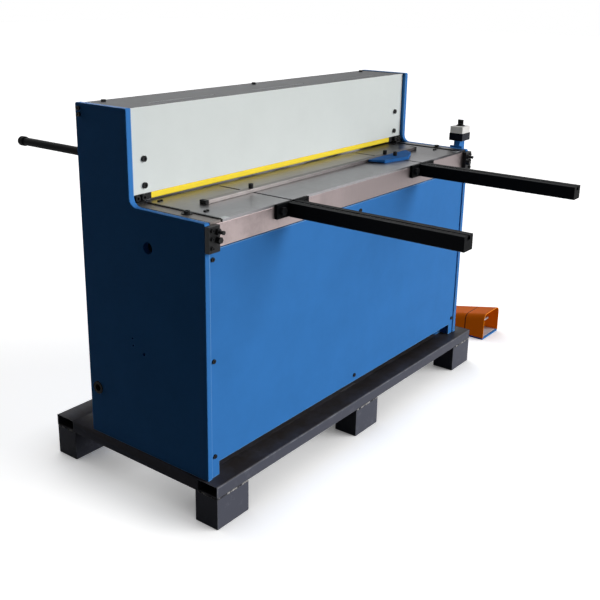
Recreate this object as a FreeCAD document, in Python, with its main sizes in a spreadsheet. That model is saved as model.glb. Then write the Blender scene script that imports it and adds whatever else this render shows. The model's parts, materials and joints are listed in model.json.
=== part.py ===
"""Hydraulic guillotine shear on its steel transport pallet, with the foot pedal that belongs to it.

Sizes are in millimetres.  X runs along the blades to the right, Y from the operator to the rear and
Z up.  The origin is on the floor, below the middle of the machine's front face.  Heights in the sheet
are measured from the top of the pallet, and every piece is lifted by the height of the pallet.
"""
import FreeCAD, Part
import math
import os
import re

import Sketcher

Vector = FreeCAD.Vector
Rotation = FreeCAD.Rotation

document = FreeCAD.newDocument("guillotine_shear")
sheet = document.addObject("Spreadsheet::Sheet", "Sizes")

DRIVING_SIZES = {
    # The two side plates and the frame between them
    "machine_width": 1580,
    "side_plate_thickness": 20,
    "frame_depth": 527,
    "throat_height": 288,
    "throat_front": 303,
    "notch_radius": 28,
    "plate_corner_radius": 6,
    "plate_edge_radius": 2.5,
    "lifting_hole_radius": 18.75,
    "lifting_hole_back": 230.7,
    "lifting_hole_drop": 114,
    "oil_hole_radius": 3,
    "oil_hole_back": 311.5,
    "oil_hole_height": 373,
    "oil_hole_spacing": 24,
    "plug_hole_radius": 6,
    "plug_hole_back": 264,
    "plug_hole_height": 344,
    "grommet_inset": 39.5,
    "grommet_height": 165,
    "grommet_hole_radius": 18,
    "grommet_flange_radius": 21.25,
    "grommet_flange_thickness": 3,
    "grommet_bore_radius": 12,
    # Steel pallet
    "pallet_height": 146,
    "pallet_left_overhang": 9,
    "pallet_right_overhang": 55,
    "pallet_front_overhang": 44,
    "pallet_rear_overhang": 180,
    "pallet_rail_width": 85,
    "pallet_rail_height": 40,
    "pallet_rail_wall": 4,
    "cross_rail_width": 100,
    "right_cross_rail_inset": 55,
    "middle_foot_offset": 23,
    "foot_width": 145,
    "foot_depth": 92,
    "foot_wall": 6,
    # Tubes and plates low in the frame
    "base_rail_width": 35,
    "base_rail_height": 47,
    "tube_wall": 4,
    "lug_reach": 25,
    "lug_radius": 25,
    "lug_thickness": 10,
    "front_lug_back": 68,
    "rear_lug_inset": 35,
    "lug_bolt_radius": 5,
    "floor_plate_thickness": 3,
    "cross_tube": 40,
    "cross_tube_wall": 3,
    "lower_cross_tube_bottom": 50,
    "upper_cross_tube_drop": 4,
    "rear_cross_tube_top": 515,
    # Front panel
    "sheet_thickness": 2,
    "panel_recess": 5,
    "panel_gap": 5,
    "panel_gap_height": 45,
    "panel_side_clearance": 1,
    "panel_flange": 24,
    "angle_leg": 25,
    "angle_wall": 3,
    "panel_screw_head_radius": 7,
    "panel_screw_head_height": 4,
    "panel_screw_radius": 3,
    "panel_screw_length": 12,
    "panel_screw_inset": 15,
    "panel_screw_drop": 24,
    # Table
    "table_height": 805,
    "table_top_thickness": 8,
    "table_top_side_gap": 54,
    "blade_setback": 4,
    "slot_offset": 402,
    "slot_neck": 10,
    "slot_head": 20,
    "slot_head_height": 9,
    "slot_end_gap": 5,
    "bed_side_gap": 4,
    "bed_thickness": 30,
    "seat_depth": 24,
    "seat_drop": 77,
    "apron_thickness": 20,
    "apron_height": 70,
    "bracket_front": 60,
    "bracket_rear_gap": 16,
    "bracket_reach": 40,
    "bracket_drop": 50,
    "bracket_wall": 10,
    "strip_gap": 6,
    "strip_front": 2,
    "strip_screw_inset": 28,
    "strip_screw_back": 118,
    "strip_screw_head_radius": 9,
    "strip_screw_head_height": 10,
    "strip_pin_inset": 6,
    "strip_pin_radius": 4,
    "strip_pin_depth": 6,
    "table_screw_inset": 36,
    "table_screw_spread": 11,
    "table_screw_front": 96,
    "table_screw_rear_inset": 16,
    "table_screw_head_radius": 5,
    "table_screw_head_height": 4,
    "table_screw_radius": 2.5,
    "table_screw_grip": 8,
    "corner_plate_width": 30,
    "corner_plate_depth": 18,
    "corner_plate_thickness": 0.8,
    # Corner blocks with their adjusters
    "corner_block_width": 46,
    "corner_block_thickness": 16,
    "corner_block_height": 78,
    "corner_block_drop": 7,
    "block_screw_inset": 13,
    "block_screw_first": 12,
    "block_screw_second": 36,
    "block_screw_third": 63,
    "block_screw_head_radius": 6,
    "block_screw_head_height": 5,
    "block_screw_radius": 4,
    "block_screw_depth": 20,
    "adjuster_inset": 35,
    "adjuster_stud_drop": 18,
    "adjuster_stud_reach": 25,
    "adjuster_bolt_drop": 42,
    "adjuster_radius": 5,
    "adjuster_flats": 17,
    "adjuster_nut_height": 8,
    "adjuster_head_height": 12,
    "adjuster_washer_radius": 10,
    "adjuster_washer_thickness": 2,
    "adjuster_button_radius": 6,
    "adjuster_button_height": 5,
    # Support arms
    "arm_length": 605,
    "arm_width": 50,
    "arm_height": 45,
    "arm_drop": 2,
    "arm_slot_head": 18,
    "arm_neck_height": 6,
    "arm_head_height": 8,
    "flange_width": 160,
    "flange_thickness": 10,
    "flange_rise": 1,
    "flange_height": 46,
    "arm_bolt_offset": 54,
    "arm_bolt_radius": 8,
    "arm_bolt_flats": 24,
    "arm_bolt_head_height": 10,
    # Gauge bar and angle stop on the table
    "slide_clearance": 0.3,
    "gauge_bar_half": 624,
    "gauge_bar_front": 150,
    "gauge_bar_width": 24,
    "gauge_bar_height": 12,
    "clamp_head_radius": 8,
    "clamp_head_height": 15,
    "clamp_shank_radius": 4.7,
    "slot_nut_width": 16,
    "slot_nut_height": 7,
    "stop_left": 262,
    "stop_corner_cut": 4,
    "stop_tongue_front": 132,
    "stop_step": 292,
    "stop_step_front": 93,
    "stop_point_side": 424,
    "stop_point_front": 68,
    "stop_right_front_side": 508,
    "stop_right_front": 108,
    "stop_right": 535,
    "stop_rear": 147,
    "stop_undercut": 5,
    "stop_bolt_back": 116,
}
DRIVING_SIZES.update({
    # White front cover and the finger guard below it
    "cover_recess": 13,
    "cover_gap": 26,
    "cover_drop": 3,
    "cover_side_clearance": 2,
    "cover_flange": 16,
    "cover_screw_inset": 55,
    "cover_screw_pitch": 81,
    "cover_screw_rise": 25,
    "cover_screw_head_radius": 9.3,
    "cover_screw_head_height": 6,
    "cover_screw_radius": 4,
    "cover_bracket_width": 80,
    "cover_bracket_thickness": 6,
    "cover_bracket_rise": 14,
    "cover_bracket_height": 105,
    "guard_side_gap": 84,
    "sheet_gap": 4.5,
    "guard_front_gap": 1,
    "guard_depth": 14,
    "guard_round": 5,
    "guard_bracket_height": 20,
    "guard_corner_gap": 1,
    "guard_screw_inset": 20,
    "guard_screw_pitch": 26,
    "guard_screw_head_height": 12,
    "guard_screw_radius": 5,
    # Grey top cover and the tie beam below it
    "top_cover_rear_inset": 2,
    "top_slot_length": 300,
    "top_slot_width": 7,
    "top_slot_inset": 54,
    "top_slot_pitch": 486,
    "top_flange": 28,
    "top_screw_inset": 60,
    "top_screw_inset_back": 12,
    "top_screw_head_radius": 8,
    "top_screw_head_height": 7,
    "tie_beam_depth": 45,
    "tie_beam_height": 42.7,
    "tie_bolt_inset": 15,
    "tie_bolt_drop": 10.7,
    "tie_bolt_pitch": 19,
    "tie_bolt_radius": 4,
    "tie_bolt_head_radius": 6.5,
    "tie_bolt_head_height": 7,
    "tie_bolt_depth": 30,
    # Blades and ram
    "blade_side_gap": 105,
    "blade_thickness": 24,
    "blade_height": 60,
    "blade_clearance": 0.3,
    "blade_opening": 17,
    "blade_rise": 30,
    "blade_screw_radius": 6,
    "blade_screw_head_radius": 10,
    "blade_screw_head_height": 8,
    "blade_screw_sink": 2,
    "blade_screw_grip": 15,
    "blade_screw_count": 6,
    "lower_blade_screw_rise": 12,
    "ram_side_gap": 37,
    "ram_thickness": 40,
    "ram_edge_setback": 12,
    "ram_shoulder_rise": 18,
    "ram_height": 170,
    "ram_lug_half": 30,
    "ram_lug_drop": 40,
    "ram_lug_thickness": 18,
    # Hold-down
    "hold_down_gap": 3,
    "hold_down_thickness": 24,
    "hold_down_opening": 18,
    "hold_down_height": 77,
    "hold_down_foot_height": 6,
    "hold_down_foot_half": 45,
    "hold_down_foot_count": 7,
    "spring_bolt_inner": 190,
    "spring_bolt_outer": 560,
    "spring_bolt_radius": 6,
    "spring_bolt_depth": 40,
    "spring_bolt_head_radius": 10,
    "spring_bolt_head_height": 10,
    "spring_wire": 4,
    "spring_mean_radius": 11,
    "spring_curls": 8,
    # Guides of the ram
    "guide_width": 70,
    "guide_front_gap": 2,
    "guide_rear_wall": 21.7,
    "guide_drop": 20,
    "guide_top_gap": 5,
    # Cylinders
    "cylinder_inset": 70,
    "cylinder_length": 280,
    "rod_exposed": 140,
    "barrel_radius": 35,
    "barrel_bore_radius": 25,
    "cylinder_end_wall": 20,
    "rod_radius": 15,
    "running_clearance": 0.05,
    "piston_height": 30,
    "piston_rise": 85,
    "clevis_width": 45,
    "clevis_inset": 3,
    "clevis_height": 30,
    "port_rise": 40,
    "port_radius": 14,
    "port_reach": 55,
    "cylinder_bracket_thickness": 20,
    "cylinder_bracket_half": 40,
    # Back gauge
    "gauge_rod_inset": 120,
    "gauge_rod_rise": 34,
    "gauge_rod_radius": 14,
    "gauge_rod_length": 563.7,
    "gauge_cap_radius": 17,
    "gauge_cap_length": 34,
    "stop_bar_overhang": 40,
    "stop_bar_distance": 48,
    "stop_bar_thickness": 8,
    "stop_bar_drop": 92,
    "stop_bar_height": 60,
    "sleeve_radius": 22,
    "sleeve_length": 40,
    "hanger_half": 20,
    "star_knob_radius": 15,
    "star_hollow_radius": 3.75,
    "star_knob_height": 14,
    "star_screw_radius": 4,
    "star_screw_length": 10,
    # Rear panel and chute
    "rear_panel_bottom": 20,
    "louvre_length": 180,
    "louvre_height": 10,
    "louvre_rows": 5,
    "louvre_pitch": 30,
    "louvre_offset": 420,
    "louvre_bottom": 120,
    "rear_screw_inset": 70,
    "chute_inset": 10,
    "chute_drop": 5,
    "chute_flange": 38,
    # Hydraulic unit
    "tank_width": 500,
    "tank_inset": 150,
    "tank_front": 140,
    "tank_depth": 300,
    "tank_height": 280,
    "tank_wall": 4,
    "motor_inset": 130,
    "motor_radius": 80,
    "motor_height": 190,
    "motor_flange_radius": 100,
    "motor_flange_height": 18,
    "motor_fin_count": 7,
    "motor_fin_depth": 8,
    "motor_fan_cover_height": 40,
    "motor_fan_cover_round": 10,
    "pump_radius": 45,
    "pump_height": 120,
    "valve_width": 120,
    "valve_inset": 80,
    "valve_half_depth": 50,
    "valve_cap": 20,
    "solenoid_radius": 22,
    "solenoid_spread": 26.4,
    "solenoid_length": 60,
    "hose_radius": 9,
    "hose_bend_radius": 55,
    "hose_inset": 25,
    # Electrical cabinet
    "cabinet_inset": 30,
    "cabinet_width": 280,
    "cabinet_depth": 200,
    "cabinet_rear_gap": 47,
    "cabinet_height": 320,
    "cabinet_wall": 3,
    # Control box on its post
    "mount_plate_thickness": 6,
    "mount_plate_front": 30,
    "mount_plate_rear": 84,
    "mount_plate_drop": 65,
    "mount_plate_height": 72,
    "post_reach": 50,
    "post_front": 44,
    "post_rear": 70,
    "post_drop": 53,
    "control_gap": 10,
    "control_width": 72,
    "control_front": 36,
    "control_rear": 97,
    "control_rise": 26,
    "control_base_height": 29,
    "control_lid_height": 29,
    "control_lid_inset": 2,
    "control_wall": 3,
    "control_corner_radius": 3,
    "selector_shift": 3,
    "selector_back": 67,
    "selector_ring_radius": 17,
    "selector_ring_height": 3,
    "selector_knob_radius": 12,
    "selector_knob_height": 22,
    "selector_grip_width": 7,
    "selector_stem_radius": 4,
    "selector_bush_radius": 10,
    "contact_block_height": 22,
    "selector_stem_grip": 5.5,
    "contact_block_half": 13,
    # Foot pedal
    "pedal_left": 1102,
    "pedal_width": 160,
    "pedal_front": 8,
    "pedal_depth": 240,
    "pedal_base_height": 8,
    "pedal_hood_height": 118,
    "pedal_rear_height": 70,
    "pedal_wall": 4,
    "pedal_hood_radius": 28,
    "pedal_seam_back": 100,
    "pedal_seam_width": 5,
    "pedal_seam_depth": 2,
    "pivot_back": 200,
    "pivot_height": 34,
    "pivot_radius": 4,
    "treadle_front": 50,
    "treadle_rise": 16,
    "treadle_thickness": 8,
    "treadle_side_gap": 16,
    "treadle_hub_radius": 9,
    "pedal_spring_radius": 5.5,
    "pedal_spring_wire": 2,
    "pedal_spring_curls": 3,
    "pedal_switch_half": 30,
    "pedal_switch_front": 214,
    "pedal_switch_height": 26,
    "gland_radius": 9,
    "gland_nut_size": 21.6,
    "gland_length": 14,
    "gland_height": 18,
    "gland_bore_radius": 4,
})

# Places that follow from the driving sizes, each a formula over them
PLACES = {
    "frame_height": "table_height + throat_height",
    "lifting_hole_height": "table_height - lifting_hole_drop",
    "grommet_back": "frame_depth - grommet_inset",
    "upper_cross_tube_top": "panel_top - upper_cross_tube_drop",
    "panel_top": "apron_bottom - panel_gap",
    "panel_screw_side": "inner_half - panel_screw_inset",
    "panel_screw_top": "upper_cross_tube_top - panel_screw_drop",
    "panel_screw_middle": "(panel_screw_top + panel_screw_bottom) / 2",
    "panel_screw_bottom": "lower_cross_tube_bottom + cross_tube / 2",
    "table_top_half": "inner_half - table_top_side_gap",
    "table_rear": "hold_down_rear - blade_thickness + blade_setback",
    "slot_end": "throat_front - slot_end_gap",
    "bed_half": "inner_half - bed_side_gap",
    "seat_bottom": "bed_bottom - seat_drop",
    "apron_bottom": "bed_top - apron_height",
    "bracket_rear": "seat_front - bracket_rear_gap",
    "strip_inner": "table_top_half + strip_gap",
    "strip_rear": "throat_front",
    "strip_screw_side": "bed_half - strip_screw_inset",
    "strip_pin_side": "strip_screw_side",
    "strip_pin_back": "strip_rear - strip_pin_inset",
    "table_screw_side": "table_top_half - table_screw_inset",
    "table_screw_rear": "throat_front - table_screw_rear_inset",
    "corner_block_inner": "outer_half - corner_block_width",
    "corner_block_bottom": "corner_block_top - corner_block_height",
    "corner_block_top": "table_height - corner_block_drop",
    "block_screw_side": "outer_half - block_screw_inset",
    "block_screw_top": "corner_block_top - block_screw_first",
    "block_screw_middle": "corner_block_top - block_screw_second",
    "block_screw_bottom": "corner_block_top - block_screw_third",
    "adjuster_side": "outer_half - adjuster_inset",
    "adjuster_stud_height": "corner_block_top - adjuster_stud_drop",
    "adjuster_bolt_height": "corner_block_top - adjuster_bolt_drop",
    "arm_top": "table_height - arm_drop",
    "flange_top": "arm_top + flange_rise",
    "arm_bolt_height": "flange_top - flange_height / 2",
    "cover_bottom": "table_height + cover_gap",
    "cover_top": "frame_height - cover_drop",
    "cover_screw_side": "inner_half - cover_screw_inset",
    "cover_screw_upper": "cover_screw_lower + cover_screw_pitch",
    "cover_screw_lower": "cover_bottom + cover_screw_rise",
    "cover_bracket_inner": "inner_half - cover_bracket_width",
    "cover_bracket_bottom": "cover_bottom + cover_bracket_rise",
    "cover_bracket_top": "cover_bracket_bottom + cover_bracket_height",
    "guard_half": "inner_half - guard_side_gap",
    "guard_bottom": "table_height + sheet_gap",
    "guard_screw_side": "inner_half - guard_screw_inset",
    "top_slot_back": "cover_rear + top_slot_inset",
    "top_screw_side": "inner_half - top_screw_inset",
    "top_screw_back": "tie_beam_front + top_screw_inset_back",
    "tie_beam_front": "tie_beam_rear - tie_beam_depth",
    "tie_beam_rear": "top_cover_rear - sheet_thickness",
    "tie_beam_bottom": "tie_beam_top - tie_beam_height",
    "tie_bolt_back": "tie_beam_rear - tie_bolt_inset",
    "tie_bolt_upper": "tie_beam_top - tie_bolt_drop",
    "tie_bolt_lower": "tie_bolt_upper - tie_bolt_pitch",
    "blade_half": "inner_half - blade_side_gap",
    "upper_edge_left": "table_height + blade_opening",
    "upper_edge_right": "upper_edge_left + blade_rise",
    "lower_blade_screw_height": "table_height - blade_height + lower_blade_screw_rise",
    "ram_half": "inner_half - ram_side_gap",
    "ram_shoulder": "upper_edge_right + ram_shoulder_rise",
    "ram_top": "ram_shoulder + ram_height",
    "ram_lug_bottom": "ram_top - ram_lug_drop",
    "hold_down_front": "guard_rear + hold_down_gap",
    "hold_down_bottom": "table_height + hold_down_opening",
    "hold_down_top": "hold_down_bottom + hold_down_height",
    "guide_inner": "inner_half - guide_width",
    "guide_front": "hold_down_front + guide_front_gap",
    "guide_rear": "ram_rear + guide_rear_wall",
    "guide_bottom": "ram_shoulder - guide_drop",
    "guide_top": "ram_top - guide_top_gap",
    "cylinder_side": "inner_half - cylinder_inset",
    "cylinder_bottom": "cylinder_top - cylinder_length",
    "cylinder_top": "clevis_bottom - rod_exposed",
    "piston_bottom": "cylinder_bottom + piston_rise",
    "clevis_inner": "clevis_outer - clevis_width",
    "clevis_outer": "ram_half - clevis_inset",
    "port_height": "cylinder_bottom + port_rise",
    "cylinder_bracket_front": "ram_middle - cylinder_bracket_half",
    "gauge_rod_side": "inner_half - gauge_rod_inset",
    "gauge_rod_height": "ram_shoulder + gauge_rod_rise",
    "gauge_rod_end": "ram_rear + gauge_rod_length",
    "stop_bar_half": "gauge_rod_side + stop_bar_overhang",
    "stop_bar_front": "frame_depth + stop_bar_distance",
    "stop_bar_bottom": "gauge_rod_height - stop_bar_drop",
    "rear_screw_side": "inner_half - rear_screw_inset",
    "chute_half": "blade_half - chute_inset",
    "chute_top": "table_height - blade_height - chute_drop",
    "chute_bend": "chute_top - chute_flange",
    "tank_left": "tank_right - tank_width",
    "tank_right": "inner_half - tank_inset",
    "tank_rear": "tank_front + tank_depth",
    "motor_side": "tank_left + motor_inset",
    "valve_left": "valve_right - valve_width",
    "valve_right": "tank_right - valve_inset",
    "valve_height": "port_height - tank_top + valve_cap",
    "left_hose_side": "valve_left + hose_inset",
    "right_hose_side": "valve_right - hose_inset",
    "cabinet_left": "inner_half - cabinet_inset",
    "cabinet_right": "cabinet_left - cabinet_width",
    "cabinet_front": "cabinet_rear - cabinet_depth",
    "cabinet_rear": "frame_depth - cabinet_rear_gap",
    "mount_plate_bottom": "table_height - mount_plate_drop",
    "mount_plate_top": "mount_plate_bottom + mount_plate_height",
    "post_right": "outer_half + post_reach",
    "post_bottom": "table_height - post_drop",
    "control_left": "outer_half + control_gap",
    "control_right": "control_left + control_width",
    "control_bottom": "table_height + control_rise",
    "selector_side": "(control_left + control_right) / 2 + selector_shift",
    "outer_half": "machine_width / 2",
    "inner_half": "outer_half - side_plate_thickness",
    "panel_rear": "panel_recess + sheet_thickness",
    "rail_inner": "inner_half - base_rail_width",
    "bed_top": "table_height - table_top_thickness",
    "bed_bottom": "bed_top - bed_thickness",
    "seat_front": "table_rear - seat_depth",
    "floor_top": "base_rail_height + floor_plate_thickness",
    "cover_front": "throat_front + cover_recess",
    "cover_rear": "cover_front + sheet_thickness",
    "guard_front": "cover_rear + guard_front_gap",
    "guard_rear": "guard_front + guard_depth",
    "guard_top": "cover_bottom - slide_clearance",
    "guard_corner_top": "guard_top - guard_bracket_height",
    "top_cover_rear": "frame_depth - top_cover_rear_inset",
    "top_cover_bottom": "cover_top - sheet_thickness",
    "tie_beam_top": "top_cover_bottom - slide_clearance",
    "lower_blade_rear": "table_rear + blade_thickness",
    "upper_blade_front": "lower_blade_rear + blade_clearance",
    "ram_front": "upper_blade_front + blade_thickness",
    "ram_rear": "ram_front + ram_thickness",
    "edge_slope": "(upper_edge_right - upper_edge_left) / (2 * blade_half)",
    "blade_screw_pitch": "2 * blade_half / blade_screw_count",
    "hold_down_rear": "hold_down_front + hold_down_thickness",
    "hold_down_middle": "hold_down_front + hold_down_thickness / 2",
    "hold_down_half": "guide_inner - slide_clearance",
    "ram_lug_top": "ram_lug_bottom + ram_lug_thickness",
    "ram_middle": "ram_front + ram_thickness / 2",
    "clevis_bottom": "ram_shoulder - clevis_height",
    "gauge_bar_bottom": "table_height + slide_clearance",
    "gauge_bar_top": "gauge_bar_bottom + gauge_bar_height",
    "gauge_bar_rear": "gauge_bar_front + gauge_bar_width",
    "gauge_bar_middle": "gauge_bar_front + gauge_bar_width / 2",
    "slot_bottom": "bed_top - slot_head_height",
    "nut_top": "bed_top - 2 * slide_clearance",
    "pallet_left": "outer_half + pallet_left_overhang",
    "pallet_right": "outer_half + pallet_right_overhang",
    "pallet_rear": "frame_depth + pallet_rear_overhang",
    "stop_bar_top": "stop_bar_bottom + stop_bar_height",
    "stop_bar_rear": "stop_bar_front + stop_bar_thickness",
    "tank_top": "floor_top + tank_height",
    "valve_side": "(valve_left + valve_right) / 2",
    "unit_back": "(tank_front + tank_rear) / 2",
    "control_base_top": "control_bottom + control_base_height",
    "control_lid_top": "control_base_top + control_lid_height",
    "ring_top": "control_lid_top + selector_ring_height",
    "pedal_right": "pedal_left + pedal_width",
    "pedal_rear": "pedal_front + pedal_depth",
    "pedal_middle": "pedal_left + pedal_width / 2",
    "pedal_floor": "pedal_base_height - pallet_height",
    "pedal_top": "pedal_floor + pedal_hood_height",
    "pedal_fall": "(pedal_hood_height - pedal_rear_height) / pedal_depth",
    "pivot_level": "pedal_floor + pivot_height",
}

for row, (alias, value) in enumerate(DRIVING_SIZES.items(), start=1):
    sheet.set(f"A{row}", alias)
    sheet.set(f"B{row}", str(value))
    sheet.setAlias(f"B{row}", alias)
document.recompute()

# The cosine from which a straight edge counts as lying along an axis
ALONG_AXIS = 0.999
# How near two middles of edges may be to count as the same, in mm
SAME_PLACE = 0.01
# The size of a hexagon socket over that of its screw head
SOCKET_SHARE = 0.95
# The number of finger hollows round a star knob
STAR_LOBES = 6

WORD = re.compile(r"\b[a-z][a-z_0-9]*\b")
FUNCTIONS = ("sqrt",)
TURNS = {
    "x": Rotation(Vector(0, 1, 0), 90),
    "y": Rotation(Vector(1, 0, 0), -90),
    "z": Rotation(),
}
PLANES = {"across": "XZ_Plane", "side": "YZ_Plane", "flat": "XY_Plane"}
nodes = {}


def formula(text):
    """Spell a formula so that each of its words is a cell of the sheet."""
    def spell(found):
        word = found.group()
        if word in PLACES:
            return "(" + formula(PLACES[word]) + ")"
        if word in FUNCTIONS:
            return word
        return "Sizes." + word
    return WORD.sub(spell, str(text))


def number(text):
    """Give the value of a formula."""
    return float(sheet.evalExpression(formula(text)))


def span(side, near, far):
    """Give the low and high x of a stretch that is mirrored to the left where side is -1."""
    if side < 0:
        return f"-({far})", f"-({near})"
    return near, far


def seat(solid, x, y, z):
    """Place a solid by three formulas; z is counted from the top of the pallet."""
    solid.setExpression("Placement.Base.x", formula(x))
    solid.setExpression("Placement.Base.y", formula(y))
    solid.setExpression("Placement.Base.z", formula(f"{z} + pallet_height"))


def block(x, y, z):
    """Make a box that reaches from the first to the second formula along each axis."""
    box = document.addObject("Part::Box", "block")
    for side, (low, high) in zip(("Length", "Width", "Height"), (x, y, z)):
        box.setExpression(side, formula(f"({high}) - ({low})"))
    seat(box, x[0], y[0], z[0])
    return box


def along(axis, start, at):
    """Give the three coordinates of a start on an axis whose two other coordinates are in at."""
    return {"x": (start, *at), "y": (at[0], start, at[1]), "z": (*at, start)}[axis]


def rod(axis, radius, start, end, at):
    """Make a round bar along an axis; at holds its two other coordinates."""
    bar = document.addObject("Part::Cylinder", "rod")
    bar.setExpression("Radius", formula(radius))
    bar.setExpression("Height", formula(f"({end}) - ({start})"))
    bar.Placement = FreeCAD.Placement(Vector(), TURNS[axis])
    seat(bar, *along(axis, start, at))
    return bar


def hexagon(axis, flats, start, end, at):
    """Make a six-sided bar with its width across flats."""
    bar = document.addObject("Part::Prism", "hexagon")
    bar.Polygon = 6
    bar.setExpression("Circumradius", formula(f"({flats}) / sqrt(3)"))
    bar.setExpression("Height", formula(f"({end}) - ({start})"))
    bar.Placement = FreeCAD.Placement(Vector(), TURNS[axis])
    seat(bar, *along(axis, start, at))
    return bar


def join(*pieces):
    """Weld pieces into one solid."""
    if len(pieces) == 1:
        return pieces[0]
    welded = document.addObject("Part::MultiFuse", "join")
    welded.Shapes = list(pieces)
    welded.Refine = True
    return welded


def group(*pieces):
    """Keep pieces as separate solids under one name."""
    if len(pieces) == 1:
        return pieces[0]
    kept = document.addObject("Part::Compound", "group")
    kept.Links = list(pieces)
    return kept


def cut(base, *tools):
    """Take tools away from a base."""
    result = document.addObject("Part::Cut", "cut")
    result.Base = base
    result.Tool = join(*tools)
    return result


def common(base, tool):
    """Keep what two solids share."""
    result = document.addObject("Part::Common", "common")
    result.Base = base
    result.Tool = tool
    return result


def smooth(solid, radius, chosen):
    """Round the edges of a solid that the chooser accepts."""
    document.recompute()
    size = number(radius)
    rounded = document.addObject("Part::Fillet", "smooth")
    rounded.Base = solid
    rounded.Edges = [
        (place, size, size)
        for place, edge in enumerate(solid.Shape.Edges, start=1)
        if chosen(edge)
    ]
    return rounded


def runs_along(axis):
    """Give a chooser for the straight edges along one axis."""
    def chosen(edge):
        if not isinstance(edge.Curve, Part.Line):
            return False
        return abs(getattr(edge.Curve.Direction, axis)) > ALONG_AXIS
    return chosen


def origin_plane(body, plane):
    """Find one of the planes that a body holds."""
    return next(item for item in body.Origin.OriginFeatures if item.Role == PLANES[plane])


def outline_body(plane, points, depth):
    """Pad a closed outline of straight edges; each corner is a pair of formulas.

    The pad rises along +Y from an outline drawn across, +X from one drawn from the side, and +Z from
    one drawn flat.
    """
    body = document.addObject("PartDesign::Body", "body")
    sketch = body.newObject("Sketcher::SketchObject", "outline")
    sketch.AttachmentSupport = (origin_plane(body, plane), [""])
    sketch.MapMode = "FlatFace"
    corners = [Vector(number(u), number(v), 0) for u, v in points]
    count = len(corners)
    for index, corner in enumerate(corners):
        sketch.addGeometry(Part.LineSegment(corner, corners[(index + 1) % count]))
    for index in range(count):
        sketch.addConstraint(Sketcher.Constraint("Coincident", index, 2, (index + 1) % count, 1))
    for index, (corner, texts) in enumerate(zip(corners, points)):
        for kind, size, text in (("DistanceX", corner.x, texts[0]), ("DistanceY", corner.y, texts[1])):
            place = sketch.addConstraint(Sketcher.Constraint(kind, -1, 1, index, 1, size))
            sketch.setExpression(f"Constraints[{place}]", formula(text))
    pad = body.newObject("PartDesign::Pad", "pad")
    pad.Profile = sketch
    pad.Reversed = plane == "across"
    pad.setExpression("Length", formula(depth))
    document.recompute()
    return body


def drill(body, plane, circles):
    """Bore round holes right through a body; each is two places and a radius."""
    sketch = body.newObject("Sketcher::SketchObject", "holes")
    sketch.AttachmentSupport = (origin_plane(body, plane), [""])
    sketch.MapMode = "FlatFace"
    for index, (u, v, radius) in enumerate(circles):
        middle = Vector(number(u), number(v), 0)
        sketch.addGeometry(Part.Circle(middle, Vector(0, 0, 1), number(radius)))
        sizes = (("DistanceX", middle.x, u), ("DistanceY", middle.y, v))
        for kind, size, text in sizes:
            place = sketch.addConstraint(Sketcher.Constraint(kind, -1, 1, index, 3, size))
            sketch.setExpression(f"Constraints[{place}]", formula(text))
        place = sketch.addConstraint(Sketcher.Constraint("Radius", index, number(radius)))
        sketch.setExpression(f"Constraints[{place}]", formula(radius))
    pocket = body.newObject("PartDesign::Pocket", "bores")
    pocket.Profile = sketch
    pocket.Type = "ThroughAll"
    pocket.Midplane = True
    before = body.Shape.Volume
    document.recompute()
    if body.Shape.Volume >= before:
        raise RuntimeError("the holes cut nothing")


def round_edges(body, radius, chosen):
    """Round those edges of a body that the chooser accepts."""
    document.recompute()
    tip = body.Tip
    names = [
        f"Edge{place}"
        for place, edge in enumerate(tip.Shape.Edges, start=1)
        if chosen(edge)
    ]
    rounding = body.newObject("PartDesign::Fillet", "rounding")
    rounding.Base = (tip, names)
    rounding.setExpression("Radius", formula(radius))
    document.recompute()


def near(edge, axes, values):
    """Tell whether the middle of an edge lies at the given values on the given axes."""
    middle = edge.CenterOfMass
    return all(abs(getattr(middle, axis) - value) < SAME_PLACE for axis, value in zip(axes, values))


def tube(x, y, z, wall, axis):
    """Make a square tube that is open at both ends along an axis."""
    inner = []
    for name, (low, high) in zip("xyz", (x, y, z)):
        if name == axis:
            inner.append((low, high))
        else:
            inner.append((f"({low}) + ({wall})", f"({high}) - ({wall})"))
    return cut(block(x, y, z), block(*inner))


def cap_screw(axis, at, face, head_radius, head_height, radius, depth, toward=-1):
    """Make a socket head screw whose head stands on a face and whose shank goes the other way.

    toward is the direction of the head along the axis, -1 or 1.
    """
    socket = f"({head_radius}) * {SOCKET_SHARE}"
    if toward < 0:
        head = rod(axis, head_radius, f"({face}) - ({head_height})", face, at)
        shank = rod(axis, radius, face, f"({face}) + ({depth})", at)
        low = f"({face}) - ({head_height})"
        recess = hexagon(axis, socket, low, f"({low}) + ({head_height}) / 2", at)
    else:
        head = rod(axis, head_radius, face, f"({face}) + ({head_height})", at)
        shank = rod(axis, radius, f"({face}) - ({depth})", face, at)
        top = f"({face}) + ({head_height})"
        recess = hexagon(axis, socket, f"({top}) - ({head_height}) / 2", top, at)
    return cut(join(head, shank), recess)


def node(name, solid):
    """Give a finished sub-part its name."""
    solid.Label = name
    nodes[name] = solid
    return solid


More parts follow.
